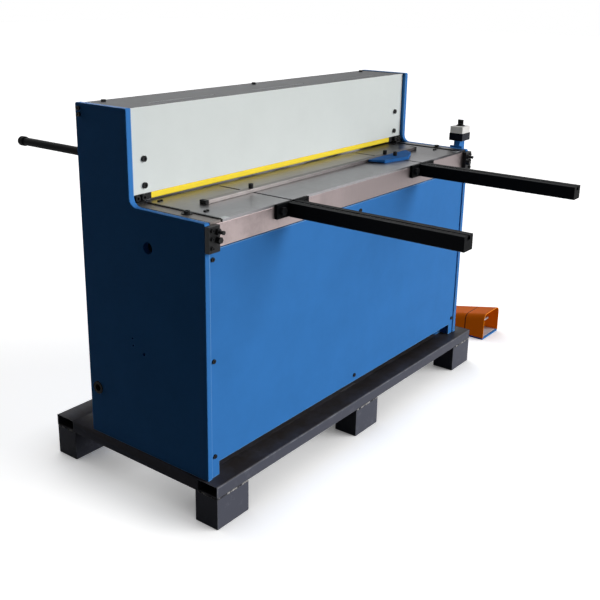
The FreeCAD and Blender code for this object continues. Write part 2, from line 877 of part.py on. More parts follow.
def side_plate(side):
    """Make one thick side plate with its throat, its lifting hole and its smaller bores."""
    body = outline_body("side", [
        ("0", "0"),
        ("frame_depth", "0"),
        ("frame_depth", "frame_height"),
        ("throat_front", "frame_height"),
        ("throat_front", "table_height"),
        ("0", "table_height"),
    ], "side_plate_thickness")
    drill(body, "side", [
        ("lifting_hole_back", "lifting_hole_height", "lifting_hole_radius"),
        ("oil_hole_back", "oil_hole_height - oil_hole_spacing / 2", "oil_hole_radius"),
        ("oil_hole_back", "oil_hole_height + oil_hole_spacing / 2", "oil_hole_radius"),
        ("plug_hole_back", "plug_hole_height", "plug_hole_radius"),
        ("grommet_back", "grommet_height", "grommet_hole_radius"),
        ("tie_bolt_back", "tie_bolt_upper", "tie_bolt_radius"),
        ("tie_bolt_back", "tie_bolt_lower", "tie_bolt_radius"),
    ])
    front, table = number("throat_front"), number("table_height")
    depth, height = number("frame_depth"), number("frame_height")
    upright = runs_along("x")
    round_edges(body, "notch_radius", lambda edge: upright(edge) and near(edge, "yz", (front, table)))
    corners = ((0, table), (front, height), (depth, height))
    round_edges(body, "plate_corner_radius", lambda edge: upright(edge) and any(
        near(edge, "yz", corner) for corner in corners))
    outer = 0 if side < 0 else number("side_plate_thickness")
    round_edges(body, "plate_edge_radius", lambda edge: (
        near(edge, "x", (outer,)) and edge.Length > number("plate_corner_radius")
        and edge.BoundBox.XLength < SAME_PLACE and not isinstance(edge.Curve, Part.Circle)
        and edge.CenterOfMass.z > 1))
    seat(body, span(side, "inner_half", "outer_half")[0], "0", "0")
    return body


def base_rails():
    """Make the two rails along the foot of the side plates, with a bolting lug at each end."""
    rails = []
    for side in (-1, 1):
        x = span(side, "rail_inner", "inner_half")
        z = ("0", "base_rail_height")
        rail = tube(x, ("panel_rear", "frame_depth"), z, "tube_wall", "y")
        middle = f"{side} * (rail_inner - lug_reach)"
        parts = [rail]
        holes = []
        for back in ("front_lug_back", "frame_depth - rear_lug_inset"):
            y = (f"{back} - lug_radius", f"{back} + lug_radius")
            parts.append(block(span(side, "rail_inner - lug_reach", "rail_inner"), y,
                               ("0", "lug_thickness")))
            parts.append(rod("z", "lug_radius", "0", "lug_thickness", (middle, back)))
            holes.append(rod("z", "lug_bolt_radius", "0", "lug_thickness", (middle, back)))
        rails.append(cut(join(*parts), *holes))
    return group(*rails)


def pallet_bolt_places():
    """List where the machine is bolted down on its pallet."""
    return [
        (f"{side} * (rail_inner - lug_reach)", back)
        for side in (-1, 1)
        for back in ("front_lug_back", "frame_depth - rear_lug_inset")
    ]


def cross_tube(low, high, front, rear):
    """Make a square tube from one side plate to the other."""
    return tube(("-inner_half", "inner_half"), (front, rear), (low, high), "cross_tube_wall", "x")


def panel_screw_places():
    """List the x and z of the screws in the front panel."""
    places = [("0", "panel_screw_top"), ("0", "panel_screw_bottom")]
    for side in (-1, 1):
        for level in ("panel_screw_top", "panel_screw_middle", "panel_screw_bottom"):
            places.append((f"{side} * panel_screw_side", level))
    return places


def panel_screw_holes():
    """Make the bores of the front panel's screws."""
    return [
        rod("y", "panel_screw_radius", "panel_recess", "panel_recess + panel_screw_length", place)
        for place in panel_screw_places()
    ]


def cross_beams():
    """Make the two square tubes behind the front panel and the one below the chute."""
    front = ("panel_rear", "panel_rear + cross_tube")
    lower = cross_tube("lower_cross_tube_bottom", "lower_cross_tube_bottom + cross_tube", *front)
    upper = cross_tube("upper_cross_tube_top - cross_tube", "upper_cross_tube_top", *front)
    rear = cross_tube("rear_cross_tube_top - cross_tube", "rear_cross_tube_top",
                      "top_cover_rear - sheet_thickness - cross_tube", "top_cover_rear - sheet_thickness")
    return group(
        cut(lower, *panel_screw_holes()),
        cut(upper, *panel_screw_holes()),
        cut(rear, *[rod("y", "panel_screw_radius", "top_cover_rear - panel_screw_length",
                        "top_cover_rear", (x, "rear_cross_tube_top - cross_tube / 2"))
                    for x in rear_screw_sides()]),
    )


def frame_brackets():
    """Make the angles and brackets that are welded to the inner faces of the side plates."""
    pieces = []
    low = "lower_cross_tube_bottom + cross_tube"
    high = "upper_cross_tube_top - cross_tube"
    for side in (-1, 1):
        y = ("panel_rear", "panel_rear + angle_leg")
        leg = block(span(side, "inner_half - angle_leg", "inner_half"),
                    ("panel_rear", "panel_rear + angle_wall"), (low, high))
        web = block(span(side, "inner_half - angle_wall", "inner_half"), y, (low, high))
        pieces.append(cut(join(leg, web), *panel_screw_holes()))
        shelf = block(span(side, "inner_half - bracket_reach", "inner_half"),
                      ("bracket_front", "bracket_rear"), ("bed_bottom - bracket_wall", "bed_bottom"))
        cheek = block(span(side, "inner_half - bracket_wall", "inner_half"),
                      ("bracket_front", "bracket_rear"), ("bed_bottom - bracket_drop", "bed_bottom"))
        pieces.append(join(shelf, cheek))
        pieces.append(block(span(side, "cylinder_side - barrel_radius", "inner_half"),
                            ("cylinder_bracket_front", "guide_rear"),
                            ("cylinder_bottom - cylinder_bracket_thickness", "cylinder_bottom")))
    return group(*pieces)


def front_panel():
    """Make the folded panel below the table, open at the foot between its two legs."""
    half = "inner_half - panel_side_clearance"
    y = ("panel_recess", "panel_rear")
    face = block((f"-({half})", half), y, ("0", "panel_top"))
    gap = block(("-rail_inner", "rail_inner"), y, ("0", "panel_gap_height"))
    flange = block((f"-({half})", half), ("panel_recess", "panel_recess + panel_flange"),
                   ("panel_top - sheet_thickness", "panel_top"))
    return cut(join(face, flange), gap, *panel_screw_holes())


def rear_screw_sides():
    """List the x of the rear panel's screws."""
    return ["-rear_screw_side", "0", "rear_screw_side"]


def cover_screws():
    """Make the black screws of the front panel, the rear panel, the covers and the guard."""
    pieces = [
        cap_screw("y", place, "panel_recess", "panel_screw_head_radius", "panel_screw_head_height",
                  "panel_screw_radius", "panel_screw_length")
        for place in panel_screw_places()
    ]
    pieces += [
        cap_screw("y", (x, "rear_cross_tube_top - cross_tube / 2"), "top_cover_rear",
                  "panel_screw_head_radius", "panel_screw_head_height", "panel_screw_radius",
                  "panel_screw_length", toward=1)
        for x in rear_screw_sides()
    ]
    pieces += [
        cap_screw("z", (x, "top_screw_back"), "cover_top", "top_screw_head_radius",
                  "top_screw_head_height", "panel_screw_radius", "panel_screw_length", toward=1)
        for x in top_screw_sides()
    ]
    pieces += [
        cap_screw("y", place, "cover_front", "cover_screw_head_radius", "cover_screw_head_height",
                  "cover_screw_radius", "sheet_thickness + cover_bracket_thickness")
        for place in front_cover_screw_places()
    ]
    pieces += [
        cap_screw("y", place, "cover_rear", "cover_screw_head_radius", "guard_screw_head_height",
                  "guard_screw_radius", "guard_depth")
        for place in guard_screw_places()
    ]
    return group(*pieces)


def rear_panel():
    """Make the sheet that closes the rear of the machine below the chute, with its louvres."""
    half = "inner_half - panel_side_clearance"
    y = ("top_cover_rear - sheet_thickness", "top_cover_rear")
    louvres = []
    for row in range(int(number("louvre_rows"))):
        low = f"louvre_bottom + {row} * louvre_pitch"
        for side in (-1, 0, 1):
            middle = f"{side} * louvre_offset"
            x = (f"{middle} - louvre_length / 2", f"{middle} + louvre_length / 2")
            louvres.append(block(x, y, (low, f"{low} + louvre_height")))
    holes = [
        rod("y", "panel_screw_radius", "top_cover_rear - panel_screw_length", "top_cover_rear",
            (x, "rear_cross_tube_top - cross_tube / 2"))
        for x in rear_screw_sides()
    ]
    face = block((f"-({half})", half), y, ("rear_panel_bottom", "rear_cross_tube_top"))
    rails = [
        block(span(side, "rail_inner - panel_side_clearance", half), y,
              ("rear_panel_bottom", "base_rail_height + panel_side_clearance"))
        for side in (-1, 1)
    ]
    return cut(face, *louvres, *holes, *rails)


def floor_plate():
    """Make the floor of the machine, which lies on the base rails and carries the unit inside."""
    half = "inner_half - panel_side_clearance"
    return block((f"-({half})", half),
                 ("panel_rear + cross_tube + panel_side_clearance",
                  "top_cover_rear - sheet_thickness - panel_side_clearance"),
                 ("base_rail_height", "floor_top"))


def pallet_rails():
    """Make the two long and three short tubes of the pallet."""
    x = ("-pallet_left", "pallet_right")
    z = ("-pallet_rail_height", "0")
    front = ("-pallet_front_overhang", "pallet_rail_width - pallet_front_overhang")
    rear = ("pallet_rear - pallet_rail_width", "pallet_rear")
    holes = [
        rod("z", "lug_bolt_radius", "-pallet_rail_wall", "0", place)
        for place in pallet_bolt_places()
    ]
    rails = [
        cut(tube(x, front, z, "pallet_rail_wall", "x"), *holes),
        tube(x, rear, z, "pallet_rail_wall", "x"),
    ]
    half = "cross_rail_width / 2"
    for left in ("-pallet_left", f"middle_foot_offset - {half}",
                 "pallet_right - right_cross_rail_inset - cross_rail_width"):
        short = tube((left, f"{left} + cross_rail_width"), (front[1], rear[0]), z,
                     "pallet_rail_wall", "y")
        rails.append(cut(short, *holes))
    return group(*rails)


def pallet_feet():
    """Make the six box feet, closed below."""
    feet = []
    for left in ("-pallet_left", "middle_foot_offset - foot_width / 2",
                 "pallet_right - foot_width"):
        for front in ("-pallet_front_overhang", "pallet_rear - foot_depth"):
            x = (left, f"{left} + foot_width")
            y = (front, f"{front} + foot_depth")
            outside = block(x, y, ("-pallet_height", "-pallet_rail_height"))
            inside = block((f"{x[0]} + foot_wall", f"{x[1]} - foot_wall"),
                           (f"{y[0]} + foot_wall", f"{y[1]} - foot_wall"),
                           ("foot_wall - pallet_height", "-pallet_rail_height"))
            feet.append(cut(outside, inside))
    return group(*feet)


def frame_bolts():
    """Make the bolts of the rear tie beam and those that hold the machine on its pallet."""
    bolts = []
    for height in ("tie_bolt_upper", "tie_bolt_lower"):
        bolts.append(cap_screw("x", ("tie_bolt_back", height), "-outer_half", "tie_bolt_head_radius",
                               "tie_bolt_head_height", "tie_bolt_radius", "tie_bolt_depth"))
        bolts.append(cap_screw("x", ("tie_bolt_back", height), "outer_half", "tie_bolt_head_radius",
                               "tie_bolt_head_height", "tie_bolt_radius", "tie_bolt_depth", toward=1))
    for place in pallet_bolt_places():
        head = hexagon("z", "adjuster_flats", "lug_thickness + adjuster_washer_thickness",
                       "lug_thickness + adjuster_washer_thickness + adjuster_nut_height", place)
        washer = rod("z", "adjuster_washer_radius", "lug_thickness",
                     "lug_thickness + adjuster_washer_thickness", place)
        shank = rod("z", "lug_bolt_radius", "-pallet_rail_wall", "lug_thickness", place)
        bolts.append(join(head, washer, shank))
    return group(*bolts)


def cable_grommets():
    """Make the rubber rings in the two cable holes."""
    rings = []
    at = ("grommet_back", "grommet_height")
    for side in (-1, 1):
        flange = rod("x", "grommet_flange_radius",
                     *span(side, "outer_half", "outer_half + grommet_flange_thickness"), at)
        sleeve = rod("x", "grommet_hole_radius", *span(side, "inner_half", "outer_half"), at)
        bore = rod("x", "grommet_bore_radius",
                   *span(side, "inner_half", "outer_half + grommet_flange_thickness"), at)
        rings.append(cut(join(flange, sleeve), bore))
    return group(*rings)


def slot_middles():
    """List the x of the two slots."""
    return ["-slot_offset", "slot_offset"]


def table_screw_places():
    """List the x and y of the paired screws that hold the table plate down."""
    return [
        (f"{side} * table_screw_side + {step} * table_screw_spread / 2", back)
        for side in (-1, 1)
        for step in (-1, 1)
        for back in ("table_screw_front", "table_screw_rear")
    ]


def block_screw_places():
    """List the x and z of the cap screws in the corner blocks."""
    return [
        (f"{side} * block_screw_side", level)
        for side in (-1, 1)
        for level in ("block_screw_top", "block_screw_middle", "block_screw_bottom")
    ]


def blade_screw_sides():
    """List the x of the screws along each blade."""
    count = int(number("blade_screw_count"))
    return [f"({2 * step + 1} - blade_screw_count) * blade_screw_pitch / 2" for step in range(count)]


def arm_bolt_places():
    """List the x and z of the bolts of the support arms."""
    return [
        (f"{middle} + {side} * arm_bolt_offset", "arm_bolt_height")
        for middle in slot_middles()
        for side in (-1, 1)
    ]


def adjuster_places():
    """List the x and z of the lower adjuster bolts."""
    return [(f"{side} * adjuster_side", "adjuster_bolt_height") for side in (-1, 1)]


def table_top():
    """Make the hard wearing plate with the necks of its two slots."""
    plate = block(("-table_top_half", "table_top_half"), ("0", "table_rear"),
                  ("bed_top", "table_height"))
    necks = [
        block((f"{middle} - slot_neck / 2", f"{middle} + slot_neck / 2"), ("0", "slot_end"),
              ("bed_top", "table_height"))
        for middle in slot_middles()
    ]
    holes = [
        rod("z", "table_screw_radius", "bed_top", "table_height", place)
        for place in table_screw_places()
    ]
    return cut(plate, *necks, *holes)


def table_bed():
    """Make the bed below the plate, with the seat of the lower blade along its rear."""
    bed = block(("-bed_half", "bed_half"), ("apron_thickness", "table_rear"),
                ("bed_bottom", "bed_top"))
    seat_beam = block(("-bed_half", "bed_half"), ("seat_front", "table_rear"),
                      ("seat_bottom", "bed_bottom"))
    grooves = [
        block((f"{middle} - slot_head / 2", f"{middle} + slot_head / 2"),
              ("apron_thickness", "slot_end"), ("slot_bottom", "bed_top"))
        for middle in slot_middles()
    ]
    holes = [
        rod("z", "table_screw_radius", "bed_top - table_screw_grip", "bed_top", place)
        for place in table_screw_places()
    ]
    holes += [
        rod("z", "blade_screw_radius", "bed_bottom", "bed_top",
            (f"{side} * strip_screw_side", "strip_screw_back"))
        for side in (-1, 1)
    ]
    holes += [
        rod("y", "blade_screw_radius", "table_rear - blade_screw_grip", "table_rear",
            (side, "lower_blade_screw_height"))
        for side in blade_screw_sides()
    ]
    return cut(join(bed, seat_beam), *grooves, *holes)


def table_apron():
    """Make the ground plate along the front of the table."""
    plate = block(("-bed_half", "bed_half"), ("0", "apron_thickness"), ("apron_bottom", "bed_top"))
    notches = [
        block((f"{middle} - slot_head / 2", f"{middle} + slot_head / 2"),
              ("0", "apron_thickness"), ("slot_bottom", "bed_top"))
        for middle in slot_middles()
    ]
    bores = [
        rod("y", "arm_bolt_radius", "0", "apron_thickness", place)
        for place in arm_bolt_places()
    ]
    bores += [
        rod("y", "adjuster_radius", "0", "apron_thickness", place)
        for place in adjuster_places()
    ]
    return cut(plate, *notches, *bores)


def side_gauge_strips():
    """Make the two strips beside the table that squared sheets are laid against."""
    strips = []
    for side in (-1, 1):
        strip = block(span(side, "strip_inner", "bed_half"), ("strip_front", "strip_rear"),
                      ("bed_top", "table_height"))
        bore = rod("z", "blade_screw_radius", "bed_top", "table_height",
                   (f"{side} * strip_screw_side", "strip_screw_back"))
        pin = rod("z", "strip_pin_radius", "table_height - strip_pin_depth", "table_height",
                  (f"{side} * strip_pin_side", "strip_pin_back"))
        strips.append(cut(strip, bore, pin))
    return group(*strips)


def table_screws():
    """Make the cap screws of the strips, the paired table screws and the corner block screws."""
    pieces = [
        cap_screw("z", (f"{side} * strip_screw_side", "strip_screw_back"), "table_height",
                  "strip_screw_head_radius", "strip_screw_head_height", "blade_screw_radius",
                  "table_top_thickness + bed_thickness", toward=1)
        for side in (-1, 1)
    ]
    pieces += [
        cap_screw("z", place, "table_height", "table_screw_head_radius", "table_screw_head_height",
                  "table_screw_radius", "table_top_thickness + table_screw_grip", toward=1)
        for place in table_screw_places()
    ]
    pieces += [
        cap_screw("y", place, "-corner_block_thickness", "block_screw_head_radius",
                  "block_screw_head_height", "block_screw_radius",
                  "corner_block_thickness + block_screw_depth")
        for place in block_screw_places()
    ]
    return group(*pieces)


def block_screw_bores():
    """Make the bores of the corner blocks' screws, through the blocks and into the side plates."""
    return [
        rod("y", "block_screw_radius", "-corner_block_thickness", "block_screw_depth", place)
        for place in block_screw_places()
    ]


def corner_plates():
    """Make the two thin bright plates on the front corners of the table."""
    return group(*[
        block(span(side, "table_top_half - corner_plate_width", "table_top_half"),
              ("0", "corner_plate_depth"), ("table_height", "table_height + corner_plate_thickness"))
        for side in (-1, 1)
    ])


def corner_blocks():
    """Make the blocks that hold the corners of the table to the side plates."""
    blocks = []
    for side in (-1, 1):
        solid = block(span(side, "corner_block_inner", "outer_half"),
                      ("-corner_block_thickness", "0"), ("corner_block_bottom", "corner_block_top"))
        x = f"{side} * adjuster_side"
        holes = [
            rod("y", "adjuster_radius", "-corner_block_thickness", "0", (x, "adjuster_stud_height")),
            rod("y", "adjuster_radius", "-corner_block_thickness", "0", (x, "adjuster_bolt_height")),
        ]
        blocks.append(cut(solid, *holes, *block_screw_bores()))
    return group(*blocks)


def front_bolts():
    """Make the hexagon bolts of the arms and the adjusters in the corner blocks."""
    pieces = []
    for place in arm_bolt_places():
        head = hexagon("y", "arm_bolt_flats", "-flange_thickness - arm_bolt_head_height",
                       "-flange_thickness", place)
        shank = rod("y", "arm_bolt_radius", "-flange_thickness", "apron_thickness", place)
        pieces.append(join(head, shank))
    face = "-corner_block_thickness"
    for side in (-1, 1):
        at = (f"{side} * adjuster_side", "adjuster_stud_height")
        stud = rod("y", "adjuster_radius", f"{face} - adjuster_stud_reach", "0", at)
        nut = hexagon("y", "adjuster_flats", f"{face} - adjuster_nut_height", face, at)
        button = rod("y", "adjuster_button_radius", f"{face} - adjuster_stud_reach",
                     f"{face} - adjuster_stud_reach + adjuster_button_height", at)
        pieces.append(join(stud, nut, button))
        at = (f"{side} * adjuster_side", "adjuster_bolt_height")
        washer = rod("y", "adjuster_washer_radius", f"{face} - adjuster_washer_thickness", face, at)
        head = hexagon("y", "adjuster_flats",
                       f"{face} - adjuster_washer_thickness - adjuster_head_height",
                       f"{face} - adjuster_washer_thickness", at)
        shank = rod("y", "adjuster_radius", face, "apron_thickness", at)
        pieces.append(join(washer, head, shank))
    return group(*pieces)


def support_arms():
    """Make the two slotted arms that stand out in front of the table, each on its flange."""
    arms = []
    for middle in slot_middles():
        beam = block((f"{middle} - arm_width / 2", f"{middle} + arm_width / 2"),
                     ("-arm_length", "-flange_thickness"), ("arm_top - arm_height", "arm_top"))
        flange = block((f"{middle} - flange_width / 2", f"{middle} + flange_width / 2"),
                       ("-flange_thickness", "0"), ("flange_top - flange_height", "flange_top"))
        neck = block((f"{middle} - slot_neck / 2", f"{middle} + slot_neck / 2"),
                     ("-arm_length", "0"), ("arm_top - arm_neck_height", "flange_top"))
        head = block((f"{middle} - arm_slot_head / 2", f"{middle} + arm_slot_head / 2"),
                     ("-arm_length", "0"),
                     ("arm_top - arm_neck_height - arm_head_height", "arm_top - arm_neck_height"))
        bores = [
            rod("y", "arm_bolt_radius", "-flange_thickness", "0",
                (f"{middle} + {side} * arm_bolt_offset", "arm_bolt_height"))
            for side in (-1, 1)
        ]
        arms.append(cut(join(beam, flange), neck, head, *bores))
    return group(*arms)


def slot_clamp(x, back):
    """Make a clamp screw with its nut below the neck of a slot."""
    at = (x, back)
    head = rod("z", "clamp_head_radius", "gauge_bar_top", "gauge_bar_top + clamp_head_height", at)
    recess = hexagon("z", "clamp_head_radius", "gauge_bar_top + clamp_head_height / 2",
                     "gauge_bar_top + clamp_head_height", at)
    shank = rod("z", "clamp_shank_radius", "nut_top", "gauge_bar_top", at)
    nut = block((f"{x} - slot_nut_width / 2", f"{x} + slot_nut_width / 2"),
                (f"{back} - slot_nut_width / 2", f"{back} + slot_nut_width / 2"),
                ("nut_top - slot_nut_height", "nut_top"))
    return cut(join(head, shank, nut), recess)


def gauge_bar():
    """Make the square bright bar that lies across the table."""
    bar = block(("-gauge_bar_half", "gauge_bar_half"), ("gauge_bar_front", "gauge_bar_rear"),
                ("gauge_bar_bottom", "gauge_bar_top"))
    holes = [
        rod("z", "clamp_shank_radius", "gauge_bar_bottom", "gauge_bar_top",
            (middle, "gauge_bar_middle"))
        for middle in slot_middles()
    ]
    return cut(bar, *holes)


def gauge_bar_clamps():
    """Make the two screws that clamp the bar in the slots."""
    return group(*[slot_clamp(middle, "gauge_bar_middle") for middle in slot_middles()])


def angle_stop():
    """Make the flat stop in front of the bar, with its undercut tongue."""
    body = outline_body("flat", [
        ("stop_left", "stop_rear"),
        ("stop_left + stop_corner_cut", "stop_tongue_front"),
        ("stop_step", "stop_step_front"),
        ("stop_point_side", "stop_point_front"),
        ("stop_right_front_side", "stop_right_front"),
        ("stop_right", "stop_rear"),
    ], "gauge_bar_height")
    seat(body, "0", "0", "gauge_bar_bottom")
    undercut = block(("stop_left", "stop_step"), ("stop_point_front", "stop_rear"),
                     ("gauge_bar_bottom", "gauge_bar_bottom + stop_undercut"))
    hole = rod("z", "clamp_shank_radius", "gauge_bar_bottom", "gauge_bar_top",
               ("slot_offset", "stop_bolt_back"))
    return cut(body, undercut, hole)


def angle_stop_bolt():
    """Make the screw that clamps the stop in the right slot."""
    return slot_clamp("slot_offset", "stop_bolt_back")


def front_cover_screw_places():
    """List the x and z of the screws in the white front cover."""
    return [
        (f"{side} * cover_screw_side", level)
        for side in (-1, 1)
        for level in ("cover_screw_upper", "cover_screw_lower")
    ]


def guard_screw_places():
    """List the x and z of the screws that hold the finger guard."""
    return [
        (f"{side} * ({place})", "guard_top - cover_screw_head_radius")
        for side in (-1, 1)
        for place in ("guard_screw_side", "guard_screw_side - guard_screw_pitch")
    ]


def top_screw_sides():
    """List the x of the screws on the top cover."""
    return ["-top_screw_side", "0", "top_screw_side"]


def front_cover():
    """Make the folded white cover above the table."""
    half = "inner_half - cover_side_clearance"
    x = (f"-({half})", half)
    face = block(x, ("cover_front", "cover_rear"), ("cover_bottom", "cover_top"))
    deep = ("cover_front", "cover_rear + cover_flange")
    lower = block(x, deep, ("cover_bottom", "cover_bottom + sheet_thickness"))
    upper = block(x, deep, ("top_cover_bottom - sheet_thickness", "top_cover_bottom"))
    holes = [
        rod("y", "cover_screw_radius", "cover_front", "cover_rear", place)
        for place in front_cover_screw_places()
    ]
    return cut(join(face, lower, upper), *holes)


def cover_brackets():
    """Make the plates behind the white cover and the black ends that close off the sheet's gap."""
    pieces = []
    for side in (-1, 1):
        plate = block(span(side, "cover_bracket_inner", "inner_half"),
                      ("cover_rear", "cover_rear + cover_bracket_thickness"),
                      ("cover_bracket_bottom", "cover_bracket_top"))
        bores = [
            rod("y", "cover_screw_radius", "cover_rear", "cover_rear + cover_bracket_thickness", place)
            for place in front_cover_screw_places()
        ]
        pieces.append(cut(plate, *bores))
        end = block(span(side, "guard_half", "inner_half"),
                    ("cover_rear", "guard_rear"), ("guard_corner_top", "guard_top"))
        corner = block(span(side, "strip_inner", "inner_half"),
                       ("strip_rear + guard_corner_gap", "guard_rear"),
                       ("bed_top", "guard_corner_top"))
        bores = [
            rod("y", "guard_screw_radius", "cover_rear", "cover_rear + guard_depth", place)
            for place in guard_screw_places()
        ]
        pieces.append(cut(join(end, corner), *bores))
    return group(*pieces)


def finger_guard():
    """Make the rounded yellow bar that keeps fingers out of the gap below the cover."""
    bar = block(("-guard_half", "guard_half"), ("guard_front", "guard_rear"),
                ("guard_bottom", "guard_top"))
    return smooth(bar, "guard_round", runs_along("x"))


def top_cover():
    """Make the grey sheet on top, with its three long slots and its rear flange."""
    half = "inner_half - cover_side_clearance"
    x = (f"-({half})", half)
    z = ("top_cover_bottom", "cover_top")
    face = block(x, ("cover_rear + slide_clearance", "top_cover_rear"), z)
    flange = block(x, ("top_cover_rear - sheet_thickness", "top_cover_rear"),
                   ("cover_top - top_flange", "cover_top"))
    radius = "top_slot_width / 2"
    cuts = []
    for step in (-1, 0, 1):
        middle = f"{step} * top_slot_pitch"
        reach = "(top_slot_length - top_slot_width) / 2"
        cuts.append(block((f"{middle} - {reach}", f"{middle} + {reach}"),
                          (f"top_slot_back - {radius}", f"top_slot_back + {radius}"), z))
        for end in (-1, 1):
            cuts.append(rod("z", radius, *z, (f"{middle} + {end} * {reach}", "top_slot_back")))
    cuts += [rod("z", "panel_screw_radius", *z, (side, "top_screw_back")) for side in top_screw_sides()]
    return cut(join(face, flange), *cuts)


def rear_tie_beam():
    """Make the box beam that ties the side plates together at the top of the rear."""
    beam = block(("-inner_half", "inner_half"), ("tie_beam_front", "tie_beam_rear"),
                 ("tie_beam_bottom", "tie_beam_top"))
    end = "inner_half - tie_bolt_depth"
    hollow = block((f"-({end})", end), ("tie_beam_front + tube_wall", "tie_beam_rear - tube_wall"),
                   ("tie_beam_bottom + tube_wall", "tie_beam_top - tube_wall"))
    bores = [
        rod("x", "tie_bolt_radius", "-inner_half", "inner_half", ("tie_bolt_back", height))
        for height in ("tie_bolt_upper", "tie_bolt_lower")
    ]
    bores += [
        rod("z", "panel_screw_radius", "cover_top - panel_screw_length", "cover_top",
            (side, "top_screw_back"))
        for side in top_screw_sides()
    ]
    return cut(beam, hollow, *bores)


def sunk_screw(x, z, back_of_head, shank_end):
    """Make a blade screw with its sunk head in front of the shank."""
    low = f"({back_of_head}) - blade_screw_head_height"
    head = rod("y", "blade_screw_head_radius", low, back_of_head, (x, z))
    shank = rod("y", "blade_screw_radius", back_of_head, shank_end, (x, z))
    recess = hexagon("y", "blade_screw_head_radius", low, f"{low} + blade_screw_head_height / 2", (x, z))
    return cut(join(head, shank), recess)


def lower_blade_head_front():
    """Give the y of the front of the lower blade's screw heads, which face the rear."""
    return "lower_blade_rear - blade_screw_sink - blade_screw_head_height"


def lower_blade():
    """Make the fixed blade, bolted to the seat behind the table."""
    blade = block(("-blade_half", "blade_half"), ("table_rear", "lower_blade_rear"),
                  ("table_height - blade_height", "table_height"))
    tools = []
    for side in blade_screw_sides():
        at = (side, "lower_blade_screw_height")
        tools.append(rod("y", "blade_screw_radius", "table_rear", "lower_blade_rear", at))
        tools.append(rod("y", "blade_screw_head_radius", lower_blade_head_front(),
                         "lower_blade_rear", at))
    return cut(blade, *tools)


def lower_blade_screws():
    """Make the screws of the lower blade."""
    pieces = []
    for side in blade_screw_sides():
        at = (side, "lower_blade_screw_height")
        head = rod("y", "blade_screw_head_radius", lower_blade_head_front(),
                   "lower_blade_rear - blade_screw_sink", at)
        shank = rod("y", "blade_screw_radius", "table_rear - blade_screw_grip",
                    lower_blade_head_front(), at)
        recess = hexagon("y", "blade_screw_head_radius",
                         f"{lower_blade_head_front()} + blade_screw_head_height / 2",
                         "lower_blade_rear - blade_screw_sink", at)
        pieces.append(cut(join(head, shank), recess))
    return group(*pieces)


def blade_screw_level(side):
    """Give the z of an upper blade screw, half way up the sloping blade."""
    return f"upper_edge_left + edge_slope * (({side}) + blade_half) + blade_height / 2"


def upper_blade():
    """Make the moving blade, whose edge rises to the right so that it cuts little by little."""
    body = outline_body("across", [
        ("-blade_half", "upper_edge_left"),
        ("blade_half", "upper_edge_right"),
        ("blade_half", "upper_edge_right + blade_height"),
        ("-blade_half", "upper_edge_left + blade_height"),
    ], "blade_thickness")
    seat(body, "0", "upper_blade_front", "0")
    tools = []
    for side in blade_screw_sides():
        at = (side, blade_screw_level(side))
        tools.append(rod("y", "blade_screw_radius", "upper_blade_front", "ram_front", at))
        tools.append(rod("y", "blade_screw_head_radius", "upper_blade_front",
                         "upper_blade_front + blade_screw_sink + blade_screw_head_height", at))
    return cut(body, *tools)


def upper_blade_screws():
    """Make the screws of the moving blade."""
    back = "upper_blade_front + blade_screw_sink + blade_screw_head_height"
    return group(*[
        sunk_screw(side, blade_screw_level(side), back, "ram_front + blade_screw_grip")
        for side in blade_screw_sides()
    ])


def spring_bolt_sides():
    """List the x of the four spring bolts of the hold-down."""
    return ["-spring_bolt_outer", "-spring_bolt_inner", "spring_bolt_inner", "spring_bolt_outer"]


def ram_beam():
    """Make the beam that carries the upper blade, with the lugs that lift the hold-down."""
    body = outline_body("across", [
        ("-ram_half", "ram_shoulder"),
        ("-blade_half", "ram_shoulder"),
        ("-blade_half", "upper_edge_left + ram_edge_setback"),
        ("blade_half", "upper_edge_right + ram_edge_setback"),
        ("blade_half", "ram_shoulder"),
        ("ram_half", "ram_shoulder"),
        ("ram_half", "ram_top"),
        ("-ram_half", "ram_top"),
    ], "ram_thickness")
    seat(body, "0", "ram_front", "0")
    lugs = [
        block((f"{side} - ram_lug_half", f"{side} + ram_lug_half"), ("hold_down_front", "ram_front"),
              ("ram_lug_bottom", "ram_lug_top"))
        for side in spring_bolt_sides()
    ]
    bores = [
        rod("z", "spring_bolt_radius + slide_clearance", "ram_lug_bottom", "ram_lug_top",
            (side, "hold_down_middle"))
        for side in spring_bolt_sides()
    ]
    bores += [
        rod("y", "blade_screw_radius", "ram_front", "ram_front + blade_screw_grip",
            (side, blade_screw_level(side)))
        for side in blade_screw_sides()
    ]
    bores += [
        rod("y", "gauge_rod_radius", "ram_rear - blade_screw_grip", "ram_rear",
            (f"{side} * gauge_rod_side", "gauge_rod_height"))
        for side in (-1, 1)
    ]
    return cut(join(body, *lugs), *bores)


def hold_down_beam():
    """Make the bar that presses the sheet on the table, with its row of feet."""
    beam = block(("-hold_down_half", "hold_down_half"), ("hold_down_front", "hold_down_rear"),
                 ("hold_down_bottom", "hold_down_top"))
    count = int(number("hold_down_foot_count"))
    pitch = "(2 * blade_half / hold_down_foot_count)"
    feet = []
    for step in range(count):
        middle = f"({2 * step + 1} - hold_down_foot_count) * {pitch} / 2"
        feet.append(block((f"{middle} - hold_down_foot_half", f"{middle} + hold_down_foot_half"),
                          ("hold_down_front", "hold_down_rear"),
                          ("hold_down_bottom - hold_down_foot_height", "hold_down_bottom")))
    bores = [
        rod("z", "spring_bolt_radius", "hold_down_top - spring_bolt_depth", "hold_down_top",
            (side, "hold_down_middle"))
        for side in spring_bolt_sides()
    ]
    return cut(join(beam, *feet), *bores)


